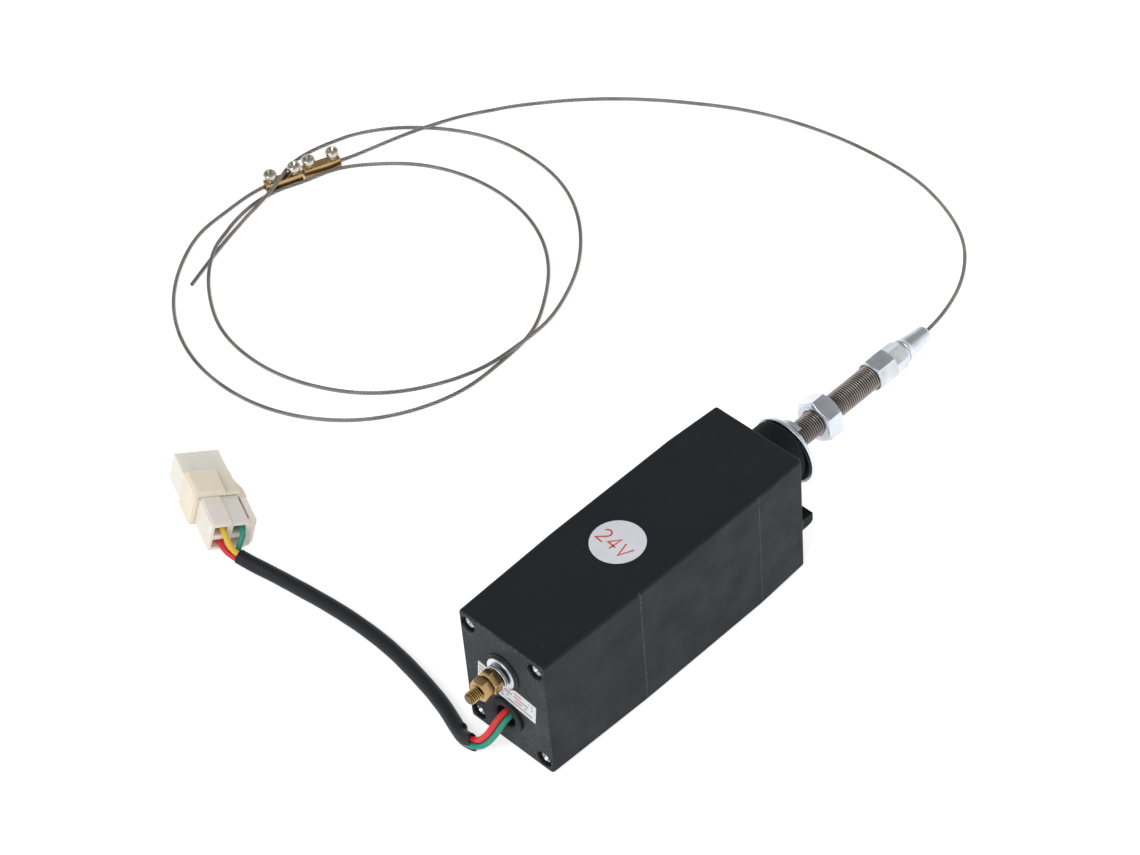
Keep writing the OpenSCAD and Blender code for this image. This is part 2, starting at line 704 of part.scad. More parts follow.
module terminal_nuts() color(brass) for (i = [0, 1])
    from_rear(-stud_lock_x - stud_nut_t - i * (stud_nut_t + stud_nut_gap), stud_z)
        difference() {
            hex_bar(stud_nut_af, stud_nut_t, 36 - 41 * i);
            translate([-1, 0, 0]) rod(stud_d + 2 * hole_gap, stud_nut_t + 2);
        }

// Eyelet under the stud's head, and the wire from it to the coil's terminals
module terminal_lead() color([0.75, 0.55, 0.35]) {
    from_rear(rear_wall, stud_z) {
        ring(stud_head_d, stud_d + 2 * hole_gap, eyelet_t);
        translate([0, 3, -12]) cube([eyelet_t, 4, 9.5]);
    }
    from_rear() tube([[rear_wall + 1.3, 5, stud_z - 10], [rear_wall + 3.2, 5.4, stud_z - 13],
        [rear_wall + 9, 6.6, coil_block_z + 1.5], [frame_x - 7, 7, coil_block_z + 0.4]],
        wire_d, 8, [0.5, 0, -0.87], [1, 0, 0], [0, 1, 0]);
}

// Wires, grommet and sleeve

module wire_grommet() color([0.06, 0.06, 0.07]) from_rear(0, grommet_z) {
    lip_t = 1.8;
    inner_lip_t = 1.5;
    lip_r = 0.8;
    along_x() rotate_extrude() difference() {
        union() {
            translate([0, -lip_t + lip_r]) square([grommet_d / 2, lip_t - lip_r]);
            translate([0, -lip_t]) square([grommet_d / 2 - lip_r, lip_t]);
            translate([grommet_d / 2 - lip_r, -lip_t + lip_r]) circle(lip_r);
            square([grommet_hole_d / 2 - hole_gap, rear_wall]);
            translate([0, rear_wall]) square([grommet_hole_d / 2 + 1.4, inner_lip_t]);
        }
        translate([-1, -lip_t - 1]) square([grommet_bore_d / 2 + 1, lip_t + rear_wall + 4]);
    }
}

lead_dirs = directions(lead_route, [-1, 0, 0]);
lead_side = [0, 0, 1];
lead_last = len(lead_route) - 1;
// Distance of the wires from the lead's middle line, at the housing and at the connector
wire_distance = wire_d * 0.6;
front_distance = wire_d * 0.6;
// Angles of the red, green and yellow wires round the lead's middle line, at the housing and at
// the connector: they turn inside the sleeve
rear_angles = [24, 264, 144];
front_angles = [288, 168, 48];

// Chambers of the wire housing as [across, up], in its own frame
chamber_rise = 0;
function chamber(i, j) = [(i - 0.5) * chamber_pitch_w,
    plug_h / 2 + chamber_rise + (j - 0.5) * chamber_pitch_h];
red_chamber = chamber(1, 0);
green_chamber = chamber(0, 1);
yellow_chamber = chamber(1, 1);

// Place in the part's frame of a point in the connector's frame
function on_plug(p) =
    let (y = p[1] * cos(plug_roll) - p[2] * sin(plug_roll),
         z = p[1] * sin(plug_roll) + p[2] * cos(plug_roll))
    plug_place + [p[0] * cos(plug_yaw) - y * sin(plug_yaw),
                  p[0] * sin(plug_yaw) + y * cos(plug_yaw), z];

plug_axis = [cos(plug_yaw), sin(plug_yaw), 0];
wire_depth = 5;

// The wires lean to one side of their chambers
wire_lean = -1.2;

// One wire: its stretch from the coil to the sleeve, and from the sleeve into its chamber
module wire(i, target) {
    tube(part_of(beside(lead_route, lead_dirs, lead_side, wire_distance, rear_angles[i]),
        0, sleeve_first), wire_d, 8, lead_dirs[0], lead_dirs[sleeve_first]);
    start = beside(lead_route, lead_dirs, lead_side, front_distance, front_angles[i])[lead_last];
    entry = on_plug([-1, target[0] + wire_lean, target[1]]);
    tube([start, start + 2.5 * lead_dirs[lead_last],
        (start + entry) / 2 + lead_dirs[lead_last] - plug_axis,
        entry, on_plug([wire_depth, target[0] + wire_lean, target[1]])],
        wire_d, 8, lead_dirs[lead_last], plug_axis);
}

module wire_red() color([0.80, 0.10, 0.12]) wire(0, red_chamber);
module wire_green() color([0.05, 0.42, 0.30]) wire(1, green_chamber);
module wire_yellow() color([0.93, 0.75, 0.15]) wire(2, yellow_chamber);

module wire_sleeve() color([0.08, 0.08, 0.09])
    tube(part_of(lead_route, sleeve_first, lead_last), sleeve_d, 12,
        lead_dirs[sleeve_first], lead_dirs[lead_last]);

// Connector pieces, each in the connector's frame: X along it, Z up through it

module on_plug_frame() translate(plug_place) rotate([plug_roll, 0, plug_yaw]) children();

latch_w = 3;
latch_gap = 1.5;
latch_edge_y = -plug_w / 2 - latch_gap - latch_w;
plug_step = 0.7;

module harness_plug() color(cream) on_plug_frame() difference() {
    union() {
        translate([0, -plug_w / 2, 0])
            cube([plug_l + plug_nose_l, plug_w, plug_h - plug_step]);
        // Higher half of the top
        translate([0, -0.6, 0]) cube([plug_l + plug_nose_l, plug_w / 2 - 0.2, plug_h]);
        latch_loop();
    }
    for (i = [0, 1]) for (j = [0, 1])
        translate([-1, chamber(i, j)[0] - chamber_w / 2, chamber(i, j)[1] - chamber_h / 2])
            cube([plug_l + plug_nose_l + 2, chamber_w, chamber_h]);
}

// Latch arm beside the wire housing, joined to it at the rear by a bar with a slanted corner
module latch_loop() translate([0, 0, 1]) linear_extrude(height = plug_h - 2.6) polygon([
    [0, -plug_w / 2 + 0.5], [0, -plug_w / 2 - 1.5], [2.8, latch_edge_y], [plug_l, latch_edge_y],
    [plug_l, latch_edge_y + latch_w], [4.5, latch_edge_y + latch_w], [4.5, -plug_w / 2 + 0.5]]);

shroud_wall = 1;
shroud_floor = 0.7;
tail_drop = 0.6;

module mating_housing() color([0.91, 0.88, 0.78]) on_plug_frame() difference() {
    union() {
        translate([plug_l + push_gap, 0, 0]) shroud();
        translate([plug_l + shroud_l, -plug_w / 2 - 1.6, 0.3])
            cube([tail_l, plug_w + 3.6, plug_h - tail_drop - 0.3]);
    }
    // Pocket for the wire housing's nose
    translate([plug_l - 1, -plug_w / 2 - push_gap, -push_gap])
        cube([plug_nose_l + 1.5, plug_w + 2 * push_gap, plug_h + 2 * push_gap]);
    for (i = [0, 1]) for (j = [0, 1])
        translate([plug_l + plug_nose_l, chamber(i, j)[0] - chamber_w / 2,
            chamber(i, j)[1] - chamber_h / 2])
            cube([shroud_l + tail_l, chamber_w, chamber_h]);
}

// Wide part round the wire housing's nose, with its higher left half and the latch ramp
module shroud() {
    translate([0, -plug_w / 2 - shroud_wall, -shroud_floor])
        cube([shroud_l, plug_w + shroud_wall + 2.8, plug_h + shroud_floor + 1.4]);
    translate([0, 0, plug_h]) rotate([90, 0, 90]) linear_extrude(height = shroud_l)
        polygon([[-3.3, 0], [-2.7, 3.3], [plug_w / 2 + 1.4, 3.3], [plug_w / 2 + 3, 1.8],
            [plug_w / 2 + 3, 0]]);
    translate([0, 0, 1]) linear_extrude(height = plug_h - 2.6)
        polygon([[0, -plug_w / 2], [0, latch_edge_y - 0.6], [5, latch_edge_y - 0.4],
            [shroud_l - 4, latch_edge_y + 1.6], [shroud_l, latch_edge_y + 2.6],
            [shroud_l + 3, -plug_w / 2 - 1], [shroud_l + 3, -plug_w / 2 + 1]]);
}

// Crimped contacts, one on each wire
module plug_terminals() color([0.80, 0.74, 0.55]) on_plug_frame()
    for (c = [red_chamber, green_chamber, yellow_chamber])
        translate([wire_depth, c[0] + wire_lean, c[1]]) {
            rod(wire_d, 4);
            translate([3.5, -1.2 - wire_lean / 2, -1.2]) cube([14, 2.4, 2.4]);
        }

// Label and sticker

label_t = 0.15;
label_place = [-0.6, 36];
label_tilt = 7;

module rear_label() color([0.90, 0.90, 0.91]) from_rear() difference() {
    translate([-label_t, label_place[0], label_place[1]]) rotate([label_tilt, 0, 0])
        translate([0, -label_w / 2, -label_h / 2]) cube([label_t, label_w, label_h]);
    translate([-1, 0, stud_z]) rod(insulator_d + 0.2, 2);
    translate([-1, 0, grommet_z]) rod(grommet_d + 0.2, 2);
}

sticker_t = 0.2;
sticker_y = 0.6;

module voltage_sticker() color([0.88, 0.88, 0.90]) from_rear(sticker_x, housing_h)
    translate([0, sticker_y, 0]) cylinder(d = sticker_d, h = sticker_t);

// Solenoid pieces

tab_w = 12;

// Steel strip folded to a U, with a tab at each end that sits in the pole plate
module solenoid_frame() color(steel) from_rear(frame_x, axis_z) difference() {
    union() {
        translate([0, -frame_w / 2, -frame_h / 2]) cube([frame_t, frame_w, frame_h]);
        for (z = [-frame_h / 2, frame_h / 2 - frame_t]) {
            translate([0, -frame_w / 2, z]) cube([frame_t + coil_l, frame_w, frame_t]);
            translate([0, -tab_w / 2, z]) cube([frame_t + coil_l + plate_t, tab_w, frame_t]);
        }
    }
    translate([-1, 0, 0]) rod(core_spigot_d + 2 * hole_gap, frame_t + 2);
}

module front_plate() color(steel) from_rear(plate_x, axis_z) difference() {
    translate([0, -plate_w / 2, -frame_h / 2]) cube([plate_t, plate_w, frame_h]);
    for (s = [-1, 1]) translate([-1, -tab_w / 2 - push_gap,
        s * (frame_h / 2) - (frame_t + push_gap)])
        cube([plate_t + 2, tab_w + 2 * push_gap, 2 * (frame_t + push_gap)]);
    translate([-1, 0, 0]) rod(guide_d + 2 * hole_gap, plate_t + 2);
}

core_spigot_d = 8;
guide_bore_d = guide_d - 2 * guide_wall;
cone_l = 6;

// Fixed core, riveted into the frame, with a cone-shaped seat for the plunger
module fixed_core() color(steel) from_rear(coil_x, axis_z) difference() {
    union() {
        rod(guide_bore_d - 2 * hole_gap, core_l);
        translate([-frame_t, 0, 0]) rod(core_spigot_d, frame_t + 1);
    }
    translate([core_l - cone_l, 0, 0]) along_x()
        cylinder(d1 = plunger_d * 0.4, d2 = plunger_d * 0.85, h = cone_l + 0.01);
}

bobbin_gap = 0.2;
bobbin_wall = 1;

module bobbin() color([0.15, 0.15, 0.17]) from_rear(coil_x + bobbin_gap, axis_z) difference() {
    union() {
        rod(guide_d + 2 * hole_gap + 2 * bobbin_wall, coil_l - 2 * bobbin_gap);
        for (x = [0, coil_l - 2 * bobbin_gap - flange_t])
            translate([x, 0, 0]) rod(flange_d, flange_t);
    }
    translate([-1, 0, 0]) rod(guide_d + 2 * hole_gap, coil_l + 2);
}

module coil_winding() color(copper)
    from_rear(coil_x + bobbin_gap + flange_t + 0.02, axis_z)
        ring(winding_d, guide_d + 2 * hole_gap + 2 * bobbin_wall + 0.04,
            coil_l - 2 * bobbin_gap - 2 * flange_t - 0.04);

module guide_tube() color(brass) from_rear(coil_x + 0.05, axis_z)
    ring(guide_d, guide_bore_d, coil_l + plate_t);

// Block behind the frame where the leads are joined to the coil
coil_block = [7, 22, 10];
coil_block_z = axis_z - frame_h / 2 + 4.4;

module coil_terminals() color([0.20, 0.17, 0.14]) from_rear(frame_x - coil_block[0], coil_block_z)
    translate([0, -coil_block[1] / 2, -coil_block[2] / 2]) difference() {
        cube(coil_block);
        for (y = [-1, coil_block[1] - 3]) translate([2, y, -1]) cube([3, 4, coil_block[2] + 2]);
    }

module rest_bumper() color([0.12, 0.10, 0.10]) from_rear(neck_flange_x - bumper_t, axis_z)
    ring(neck_d + 4, neck_bore_d + 2, bumper_t);

// Moving pieces

module plunger() color([0.62, 0.63, 0.65]) from_rear(0, axis_z) difference() {
    union() {
        translate([plunger_rear_x, 0, 0])
            rod(plunger_d, plunger_front_x - plunger_rear_x);
        translate([plunger_rear_x - cone_l + 1, 0, 0]) along_x()
            cylinder(d1 = plunger_d * 0.4, d2 = plunger_d * 0.78, h = cone_l - 0.99);
    }
    // Groove for the clip
    translate([clip_x - 0.05, 0, 0]) ring(plunger_d + 2, plunger_d - 3, clip_t + 0.1);
    translate([cable_start_x - 0.5, 0, 0])
        rod(plunger_bore_d, plunger_front_x - cable_start_x + 1);
}

module plunger_clip() color(steel) from_rear(clip_x, axis_z) difference() {
    ring(clip_d, plunger_d - 3 + 2 * hole_gap, clip_t);
    // Mouth that lets the clip slip on from the side
    translate([-1, -plunger_d / 2 + 1.5 - hole_gap, 0])
        cube([clip_t + 2, plunger_d - 3 + 2 * hole_gap, clip_d]);
}

module return_spring() color(steel) from_rear(0, axis_z) {
    a = plate_x + plate_t + end_gap + spring_wire_d / 2;
    b = clip_x - end_gap - spring_wire_d / 2;
    steps = 11;
    n = floor(spring_turns * steps);
    tube([for (i = [0 : n]) let (q = 360 * i / steps)
        [a + (b - a) * i / n, spring_d / 2 * cos(q), spring_d / 2 * sin(q)]],
        spring_wire_d, 6, undef, undef, [1, 0, 0]);
}

module cable_ferrule() color([0.60, 0.48, 0.30]) from_rear(cable_start_x, axis_z)
    ring(ferrule_d, rope_d + 2 * hole_gap, ferrule_l);

module cable_retainer() color(brass) from_rear(plunger_front_x - retainer_l, axis_z)
    ring(plunger_bore_d - 2 * hole_gap, rope_d + 2 * slide_gap, retainer_l);

module inner_cable() color([0.45, 0.44, 0.42]) from_rear(cable_start_x, axis_z)
    rod(rope_d, nozzle_tip_x - cable_seam_inset - end_gap - cable_start_x);

// Free rope and its clamp

module outer_cable() color([0.45, 0.44, 0.42]) tube(rope_route, rope_d, 8, [1, 0, 0]);

module clamp_bar(place) color(brass) translate(place) rotate([0, 0, clamp_yaw]) difference() {
    translate([-clamp_l / 2, -clamp_w / 2, 0]) cube([clamp_l, clamp_w, clamp_h]);
    translate([-clamp_l / 2 - 1, 0, clamp_h / 2]) rod(clamp_bore_d, clamp_l + 2);
    for (s = [-1, 1]) translate([s * clamp_pitch / 2, 0, clamp_h / 2])
        cylinder(d = clamp_screw_d + 2 * hole_gap, h = clamp_h);
}

module clamp_bar_inner() clamp_bar(clamp_inner_place);
module clamp_bar_outer() clamp_bar(clamp_outer_place);

// The screws end just above the rope that they hold
module clamp_screws() color([0.68, 0.62, 0.52]) for (place = [clamp_inner_place, clamp_outer_place])
    translate(place) rotate([0, 0, clamp_yaw]) for (s = [-1, 1])
        translate([s * clamp_pitch / 2, 0, clamp_h + clamp_head_gap]) rotate([180, 0, 30 + 25 * s])
            pan_screw(clamp_screw_d, clamp_head_d, clamp_head_h,
                clamp_h / 2 + clamp_head_gap - rope_d / 2 - 0.1);

housing_body();
rear_cover();
cover_screws();
neck_tube();
neck_seal();
neck_washer();
neck_lock_washer();
neck_nut();
end_fitting();
terminal_stud();
terminal_insulator();
terminal_washer();
terminal_lock_washer();
terminal_nuts();
terminal_lead();
rear_label();
voltage_sticker();
wire_grommet();
wire_red();
wire_green();
wire_yellow();
wire_sleeve();
harness_plug();
plug_terminals();
mating_housing();
solenoid_frame();
front_plate();
fixed_core();
bobbin();
coil_winding();
guide_tube();
coil_terminals();
rest_bumper();
plunger();
plunger_clip();
return_spring();
cable_ferrule();
cable_retainer();
inner_cable();
outer_cable();
clamp_bar_inner();
clamp_bar_outer();
clamp_screws();
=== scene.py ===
"""Looks for the fuel shutoff solenoid: builds its visible pieces, finishes, lamps and camera."""

import math
from functools import cache

import bmesh
import bpy
import numpy as np
from mathutils import Matrix, Vector


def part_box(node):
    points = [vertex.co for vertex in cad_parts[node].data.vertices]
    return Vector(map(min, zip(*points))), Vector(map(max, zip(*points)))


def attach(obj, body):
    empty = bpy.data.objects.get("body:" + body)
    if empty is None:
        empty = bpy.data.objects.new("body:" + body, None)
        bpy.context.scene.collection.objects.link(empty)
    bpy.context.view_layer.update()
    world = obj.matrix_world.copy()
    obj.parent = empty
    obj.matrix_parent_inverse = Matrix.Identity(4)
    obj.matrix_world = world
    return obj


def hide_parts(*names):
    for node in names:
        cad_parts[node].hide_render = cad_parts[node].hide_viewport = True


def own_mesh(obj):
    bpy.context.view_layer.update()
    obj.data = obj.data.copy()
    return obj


bl_info = {
    "name": "Fuel Shutoff Solenoid",
    "version": (1, 0, 0),
    "blender": (4, 5, 0),
    "location": "3D View > Sidebar > Solenoid",
    "description": "Builds a pull solenoid with its threaded neck, steel rope, clamp and wire lead",
    "category": "Object",
}

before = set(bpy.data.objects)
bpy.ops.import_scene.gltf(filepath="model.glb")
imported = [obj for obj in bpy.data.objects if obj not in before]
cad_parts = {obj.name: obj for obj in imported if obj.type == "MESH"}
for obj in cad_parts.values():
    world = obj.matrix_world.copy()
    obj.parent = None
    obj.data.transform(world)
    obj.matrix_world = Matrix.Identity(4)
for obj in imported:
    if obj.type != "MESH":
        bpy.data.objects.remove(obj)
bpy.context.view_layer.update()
MM = 0.001


def span(node):
    """Lowest and highest corner of a CAD node, in millimetres."""
    low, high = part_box(node)
    return low / MM, high / MM


def middle(node):
    low, high = span(node)
    return (low + high) / 2


NECK_Z = middle("neck_tube").z
STUD_Z = middle("terminal_stud").z
GROMMET_Z = middle("wire_grommet").z
REAR_X = span("rear_cover")[0].x
SEAM_X = REAR_X + 57
NOSE_X = REAR_X + 131
FRONT_X = REAR_X + 160
HOUSING_TOP = span("rear_cover")[1].z - 0.6
COVER_WALL = 3
LABEL_Z = 36
# radius that closes a turned piece on its own axis, in millimetres
AXIS_R = 0.001
# spacing of the single wires' lines on the rope, in metres
WIRE_SPACING = 0.0018

# Middle line of the lead, from the coil's terminals to the connector, in millimetres
LEAD_ROUTE = [
    (-56.3, 0, 33), (-62, 0, 31.6), (-69, 0, 26.5), (-76, 0, 21.8), (-82, 0, 21.3),
    (-85.5, 0.3, 19.5), (-88.5, 1.7, 15), (-90.6, 4, 10.4), (-92.2, 7, 6.9), (-93, 10, 5.4),
    (-93.4, 13.5, 4.6), (-92, 20, 4), (-87.5, 33, 3.7), (-82.7, 54, 3.7), (-79.7, 75, 3.7),
    (-79, 95, 3.7), (-80.2, 116, 3.7), (-82.8, 137, 3.7), (-85.5, 153, 4.2),
    (-87.5, 161, 5.2), (-89, 167.5, 6.4),
]
SLEEVE_FIRST = 9

# Route of the free rope, in millimetres
ROPE_ROUTE = [
    (191, 0, 47.6), (198, 0.6, 47.6), (214, 4.3, 46.4), (233, 12.7, 43.3), (249, 23.8, 40),
    (262.5, 37, 35.5), (274.5, 53, 30), (285, 69.5, 23.5), (295, 91, 17), (302.5, 118.5, 10),
    (305.35, 146, 5), (303, 174.5, 2), (295, 202, 1), (282, 227, 1), (267, 250, 1),
    (249, 272, 1), (229, 291, 1), (209, 306, 1), (194, 313.5, 2.4), (176, 320.5, 3.4),
    (160, 327, 2.6), (131, 335.6, 2.6), (90.3, 351.2, 2.6), (81, 353.1, 1.8),
    (66, 353.1, 1.3), (49, 351.8, 1),
    (30, 344, 1), (11, 330, 1), (-5, 310, 1), (-15, 286, 1), (-18, 262, 1), (-15, 237, 1),
    (-5, 213, 1), (11, 193, 1), (34, 178, 1), (59, 170.8, 1), (83, 171, 1), (106, 174.6, 1),
    (125, 185, 1), (142, 199, 1), (156, 218, 1), (164, 240, 1), (166, 262, 1), (162, 287, 1),
    (152, 308, 1), (138, 324, 1), (124, 334.6, 1), (107, 340.3, 1), (94.5, 345, 1),
    (69, 345.8, 1), (56, 342, 1), (43.5, 335.6, 3.2), (27, 322.5, 1.8), (18, 311, 1),
    (8, 292, 1), (3.7, 270, 1), (5, 247, 1), (12, 225, 1), (24, 205, 1), (40, 190, 1),
    (58, 179.8, 1), (77, 173, 2.2), (95, 170.9, 3.5), (113, 172.6, 2.2), (132, 178.8, 1),
    (151, 188.5, 1), (168, 202.3, 1), (182, 219.5, 1), (192, 241, 1), (195.5, 264, 1),
    (193, 289, 1), (184, 311, 1), (173.5, 326.5, 1), (158, 341.3, 1), (140, 350.6, 1),
    (128, 352.3, 2.6), (102.5, 348.2, 6.7), (97, 346, 6.7), (78, 344.1, 1.4), (64.5, 341, 1),
    (38, 332.9, 1), (18.8, 326, 1),
]

# Place of the connector's rear edge, and its turn and roll as it lies on the floor
PLUG_PLACE = Vector((-88.7, 177.5, 3.86))
PLUG_TURN = Matrix.Rotation(math.radians(67), 3, "Z") @ Matrix.Rotation(math.radians(18), 3, "X")
PLUG_HEIGHT = 15.4
CHAMBER_PITCH = (8.9, 7.2)
WIRE_LEAN = -1.2
CLAMP_PLACES = [Vector((99.4, 347.1, 0)), Vector((119.8, 340.6, 0))]
CLAMP_TURN = math.radians(-21)


# ---------------------------------------------------------------- settings

def colour(name, value, description):
    return bpy.props.FloatVectorProperty(
        name=name, description=description, default=value, size=3,
        min=0, max=1, subtype="COLOR")


def length(name, value, description, low=0.0, high=1.0):
    return bpy.props.FloatProperty(
        name=name, description=description, default=value, min=low, max=high,
        precision=5, subtype="DISTANCE", unit="LENGTH")


def number(name, value, description, low=0.0, high=10.0):
    return bpy.props.FloatProperty(
        name=name, description=description, default=value, min=low, max=high)


class SOLENOID_PG_colours(bpy.types.PropertyGroup):
    """Colours of the finishes."""

    housing: colour("Housing", (0.0085, 0.0095, 0.0125), "Moulded plastic of housing and cover")
    rubber: colour("Rubber", (0.012, 0.012, 0.013), "Grommet and insulating ring")
    sleeve: colour("Sleeve", (0.014, 0.0145, 0.0175), "Sleeve over the wires")
    zinc: colour("Zinc", (0.66, 0.70, 0.75), "Plated nut, washers and cable end fitting")
    neck: colour("Neck", (0.42, 0.375, 0.35), "Dull plating of the threaded neck")
    brass: colour("Brass", (0.50, 0.335, 0.12), "Stud and its nuts")
    bronze: colour("Bars", (0.50, 0.33, 0.15), "Clamp bars")
    bright: colour("Clamp screws", (0.66, 0.60, 0.53), "Clamp screws")
    rope: colour("Rope", (0.36, 0.345, 0.33), "Steel rope")
    red: colour("Red wire", (0.70, 0.030, 0.030), "Insulation of the red wire")
    green: colour("Green wire", (0.026, 0.28, 0.20), "Insulation of the green wire")
    yellow: colour("Yellow wire", (0.80, 0.53, 0.05), "Insulation of the yellow wire")
    nylon: colour("Connector", (0.93, 0.84, 0.76), "Moulded nylon of the connector")
    paper: colour("Sticker", (0.74, 0.75, 0.80), "Round sticker")
    ink: colour("Print", (0.61, 0.075, 0.034), "Print on the round sticker")
    label: colour("Label", (0.78, 0.78, 0.80), "Label on the rear face")


class SOLENOID_PG_cords(bpy.types.PropertyGroup):
    """Sizes of rope, wires and sleeve."""

    rope_diameter: length("Rope diameter", 0.002, "Outer diameter of the steel rope", 0.001, 0.004)
    rope_length: length("Rope length", 1.772, "Length of the free rope", 0.5, 3)
    rope_lay: length("Lay", 0.013, "Length in which a strand goes once round", 0.004, 0.03)
    strands: bpy.props.IntProperty(name="Strands", description="Outer strands of the rope",
                                   default=6, min=3, max=8)
    wire_diameter: length("Wire diameter", 0.0028, "Outer diameter of a wire", 0.001, 0.004)
    rear_distance: length("Rear wire distance", 0.00168, "Distance of each wire from the lead's "
                          "middle at the housing", 0.001, 0.003)
    front_distance: length("Front wire distance", 0.00168, "Distance of each wire from the lead's "
                           "middle at the connector", 0.001, 0.003)
    sleeve_diameter: length("Sleeve diameter", 0.0072, "Outer diameter of the sleeve", 0.004, 0.01)
    sleeve_wall: length("Sleeve wall", 0.00052, "Wall of the sleeve", 0.0003, 0.001)


class SOLENOID_PG_hardware(bpy.types.PropertyGroup):
    """Sizes of threads and edges."""

    neck_pitch: length("Neck pitch", 0.00125, "Pitch of the neck's thread", 0.0005, 0.003)
    stud_pitch: length("Stud pitch", 0.001, "Pitch of the stud's thread", 0.0005, 0.002)
    clamp_pitch: length("Clamp screw pitch", 0.0005, "Pitch of the clamp screws", 0.0003, 0.001)
    thread_depth: number("Thread depth", 0.61, "Depth of a thread, a share of its pitch", 0.3, 0.9)
    moulded_edge: length("Moulded edge", 0.0007, "Radius on the connector's edges", 0.0001, 0.001)
    metal_edge: length("Metal edge", 0.00025, "Width of the bevels on metal edges", 0.0001, 0.001)
    seam: length("Seam", 0.0002, "Width of the bevel at the housing's seam", 0.0001, 0.0005)


class SOLENOID_PG_stage(bpy.types.PropertyGroup):
    """Levels of the lamps, and the floor."""

    horizon: number("Horizon", 0.98, "Brightness of the surroundings near the horizon")
    overhead: number("Overhead", 0.38, "Brightness of the surroundings overhead")
    key: number("Key", 1.15, "Strength of the soft key lamp")
    fill: number("Fill", 0.35, "Strength of the soft fill lamp")
    floor: colour("Floor", (0.93, 0.93, 0.93), "Floor")
    glow: number("Floor glow", 0.56, "Light that makes the floor look white")


# ---------------------------------------------------------------- node helpers

def both_ways(operation):
    """Two methods of an operator, with the value on its left and on its right."""
    return (lambda self, other: calc(operation, self, other),
            lambda self, other: calc(operation, other, self))


class Value:
    """An output socket to calculate with: each step adds a Math node to its tree."""

    def __init__(self, source):
        self.socket = source.outputs[0] if isinstance(source, bpy.types.Node) else source
        self.tree = source.id_data

    __add__, __radd__ = both_ways("ADD")
    __sub__, __rsub__ = both_ways("SUBTRACT")
    __mul__, __rmul__ = both_ways("MULTIPLY")
    __truediv__, __rtruediv__ = both_ways("DIVIDE")
    __lt__, __gt__ = both_ways("LESS_THAN")[0], both_ways("GREATER_THAN")[0]


def put(tree, kind, values=None, **settings):
    """Adds a node; values gives inputs, by name or index, a constant, a Value, or a node whose
    first output is linked."""
    node = tree.nodes.new(kind)
    for key, value in settings.items():
        setattr(node, key, value)
    for key, value in (values or {}).items():
        if isinstance(value, bpy.types.Node):
            value = Value(value)
        if isinstance(value, Value):
            tree.links.new(value.socket, node.inputs[key])
        else:
            node.inputs[key].default_value = value
    return node


def calc(operation, *values, clamp=False):
    """Result of a Math node."""
    tree = next(v.tree for v in values if isinstance(v, Value))
    return Value(put(tree, "ShaderNodeMath", dict(enumerate(values)), operation=operation,
                     use_clamp=clamp))


def spread(value, low, high, to_low=0.0, to_high=1.0, **settings):
    """Result of a Map Range node."""
    return Value(put(value.tree, "ShaderNodeMapRange", {
        "Value": value, "From Min": low, "From Max": high,
        "To Min": to_low, "To Max": to_high}, **settings))


def choose(mask, a, b):
    """The number a where the mask is 0, and b where it is 1."""
    return Value(put(mask.tree, "ShaderNodeMix", {0: mask, 2: a, 3: b}, data_type="FLOAT"))


def blend(mask, a, b):
    """The colour a where the mask is 0, and b where it is 1."""
    a, b = (v if isinstance(v, Value) else (*v[:3], 1) for v in (a, b))
    node = put(mask.tree, "ShaderNodeMix", {0: mask, 6: a, 7: b}, data_type="RGBA")
    return Value(node.outputs[2])


SOCKETS = {float: "NodeSocketFloat", int: "NodeSocketInt", tuple: "NodeSocketVector"}


def node_tree(name, kind, inputs, *outputs):
    """A node group, its inputs by name, and a function that links one of its outputs; inputs
    gives each name its default, or the kind of a socket that has none."""
    tree = bpy.data.node_groups.new(name, kind)
    for title, default in inputs.items():
        socket = SOCKETS.get(type(default)) or "NodeSocket" + default
        item = tree.interface.new_socket(name=title, in_out="INPUT", socket_type=socket)
        if type(default) in SOCKETS:
            item.default_value = default
    for title in outputs:
        socket = "NodeSocketGeometry" if title == "Geometry" else "NodeSocketFloat"
        tree.interface.new_socket(name=title, in_out="OUTPUT", socket_type=socket)
    given = {s.name: Value(s) for s in tree.nodes.new("NodeGroupInput").outputs if s.name}
    out = tree.nodes.new("NodeGroupOutput")

    def give(title, value):
        tree.links.new(value.socket, out.inputs[title])

    return tree, given, give


# ---------------------------------------------------------------- shared shader effects

def object_place(tree):
    return Value(put(tree, "ShaderNodeTexCoord").outputs["Object"])


def place_parts(tree):
    """x, y and z in the object's own space."""
    parts = put(tree, "ShaderNodeSeparateXYZ", {0: object_place(tree)})
    return [Value(s) for s in parts.outputs]


def noise(tree, size, detail, roughness):
    """Noise whose spots have a size in the object's own space."""
    place = put(tree, "ShaderNodeVectorMath", {0: object_place(tree), 3: 1.0 / size},
                operation="SCALE")
    return Value(put(tree, "ShaderNodeTexNoise", {
        "Vector": place, "Scale": 1.0, "Detail": detail, "Roughness": roughness}))


@cache
def grain_group():
    """Fine moulded grain with slow changes of tone."""
    tree, given, give = node_tree("Moulded Grain", "ShaderNodeTree", {
        "Grain Size": 0.0006, "Patch Size": 0.03}, "Height", "Patch")
    give("Height", noise(tree, given["Grain Size"], 2.0, 0.55))
    give("Patch", spread(noise(tree, given["Patch Size"], 4.0, 0.6), 0.35, 0.65))
    return tree


@cache
def handling_group():
    """Roughness that changes where a surface was handled."""
    tree, given, give = node_tree("Handling Marks", "ShaderNodeTree", {
        "Size": 0.01, "Low": 0.3, "High": 0.5}, "Roughness")
    share = spread(noise(tree, given["Size"], 5.0, 0.65), 0.32, 0.68)
    give("Roughness", given["Low"] + share * (given["High"] - given["Low"]))
    return tree


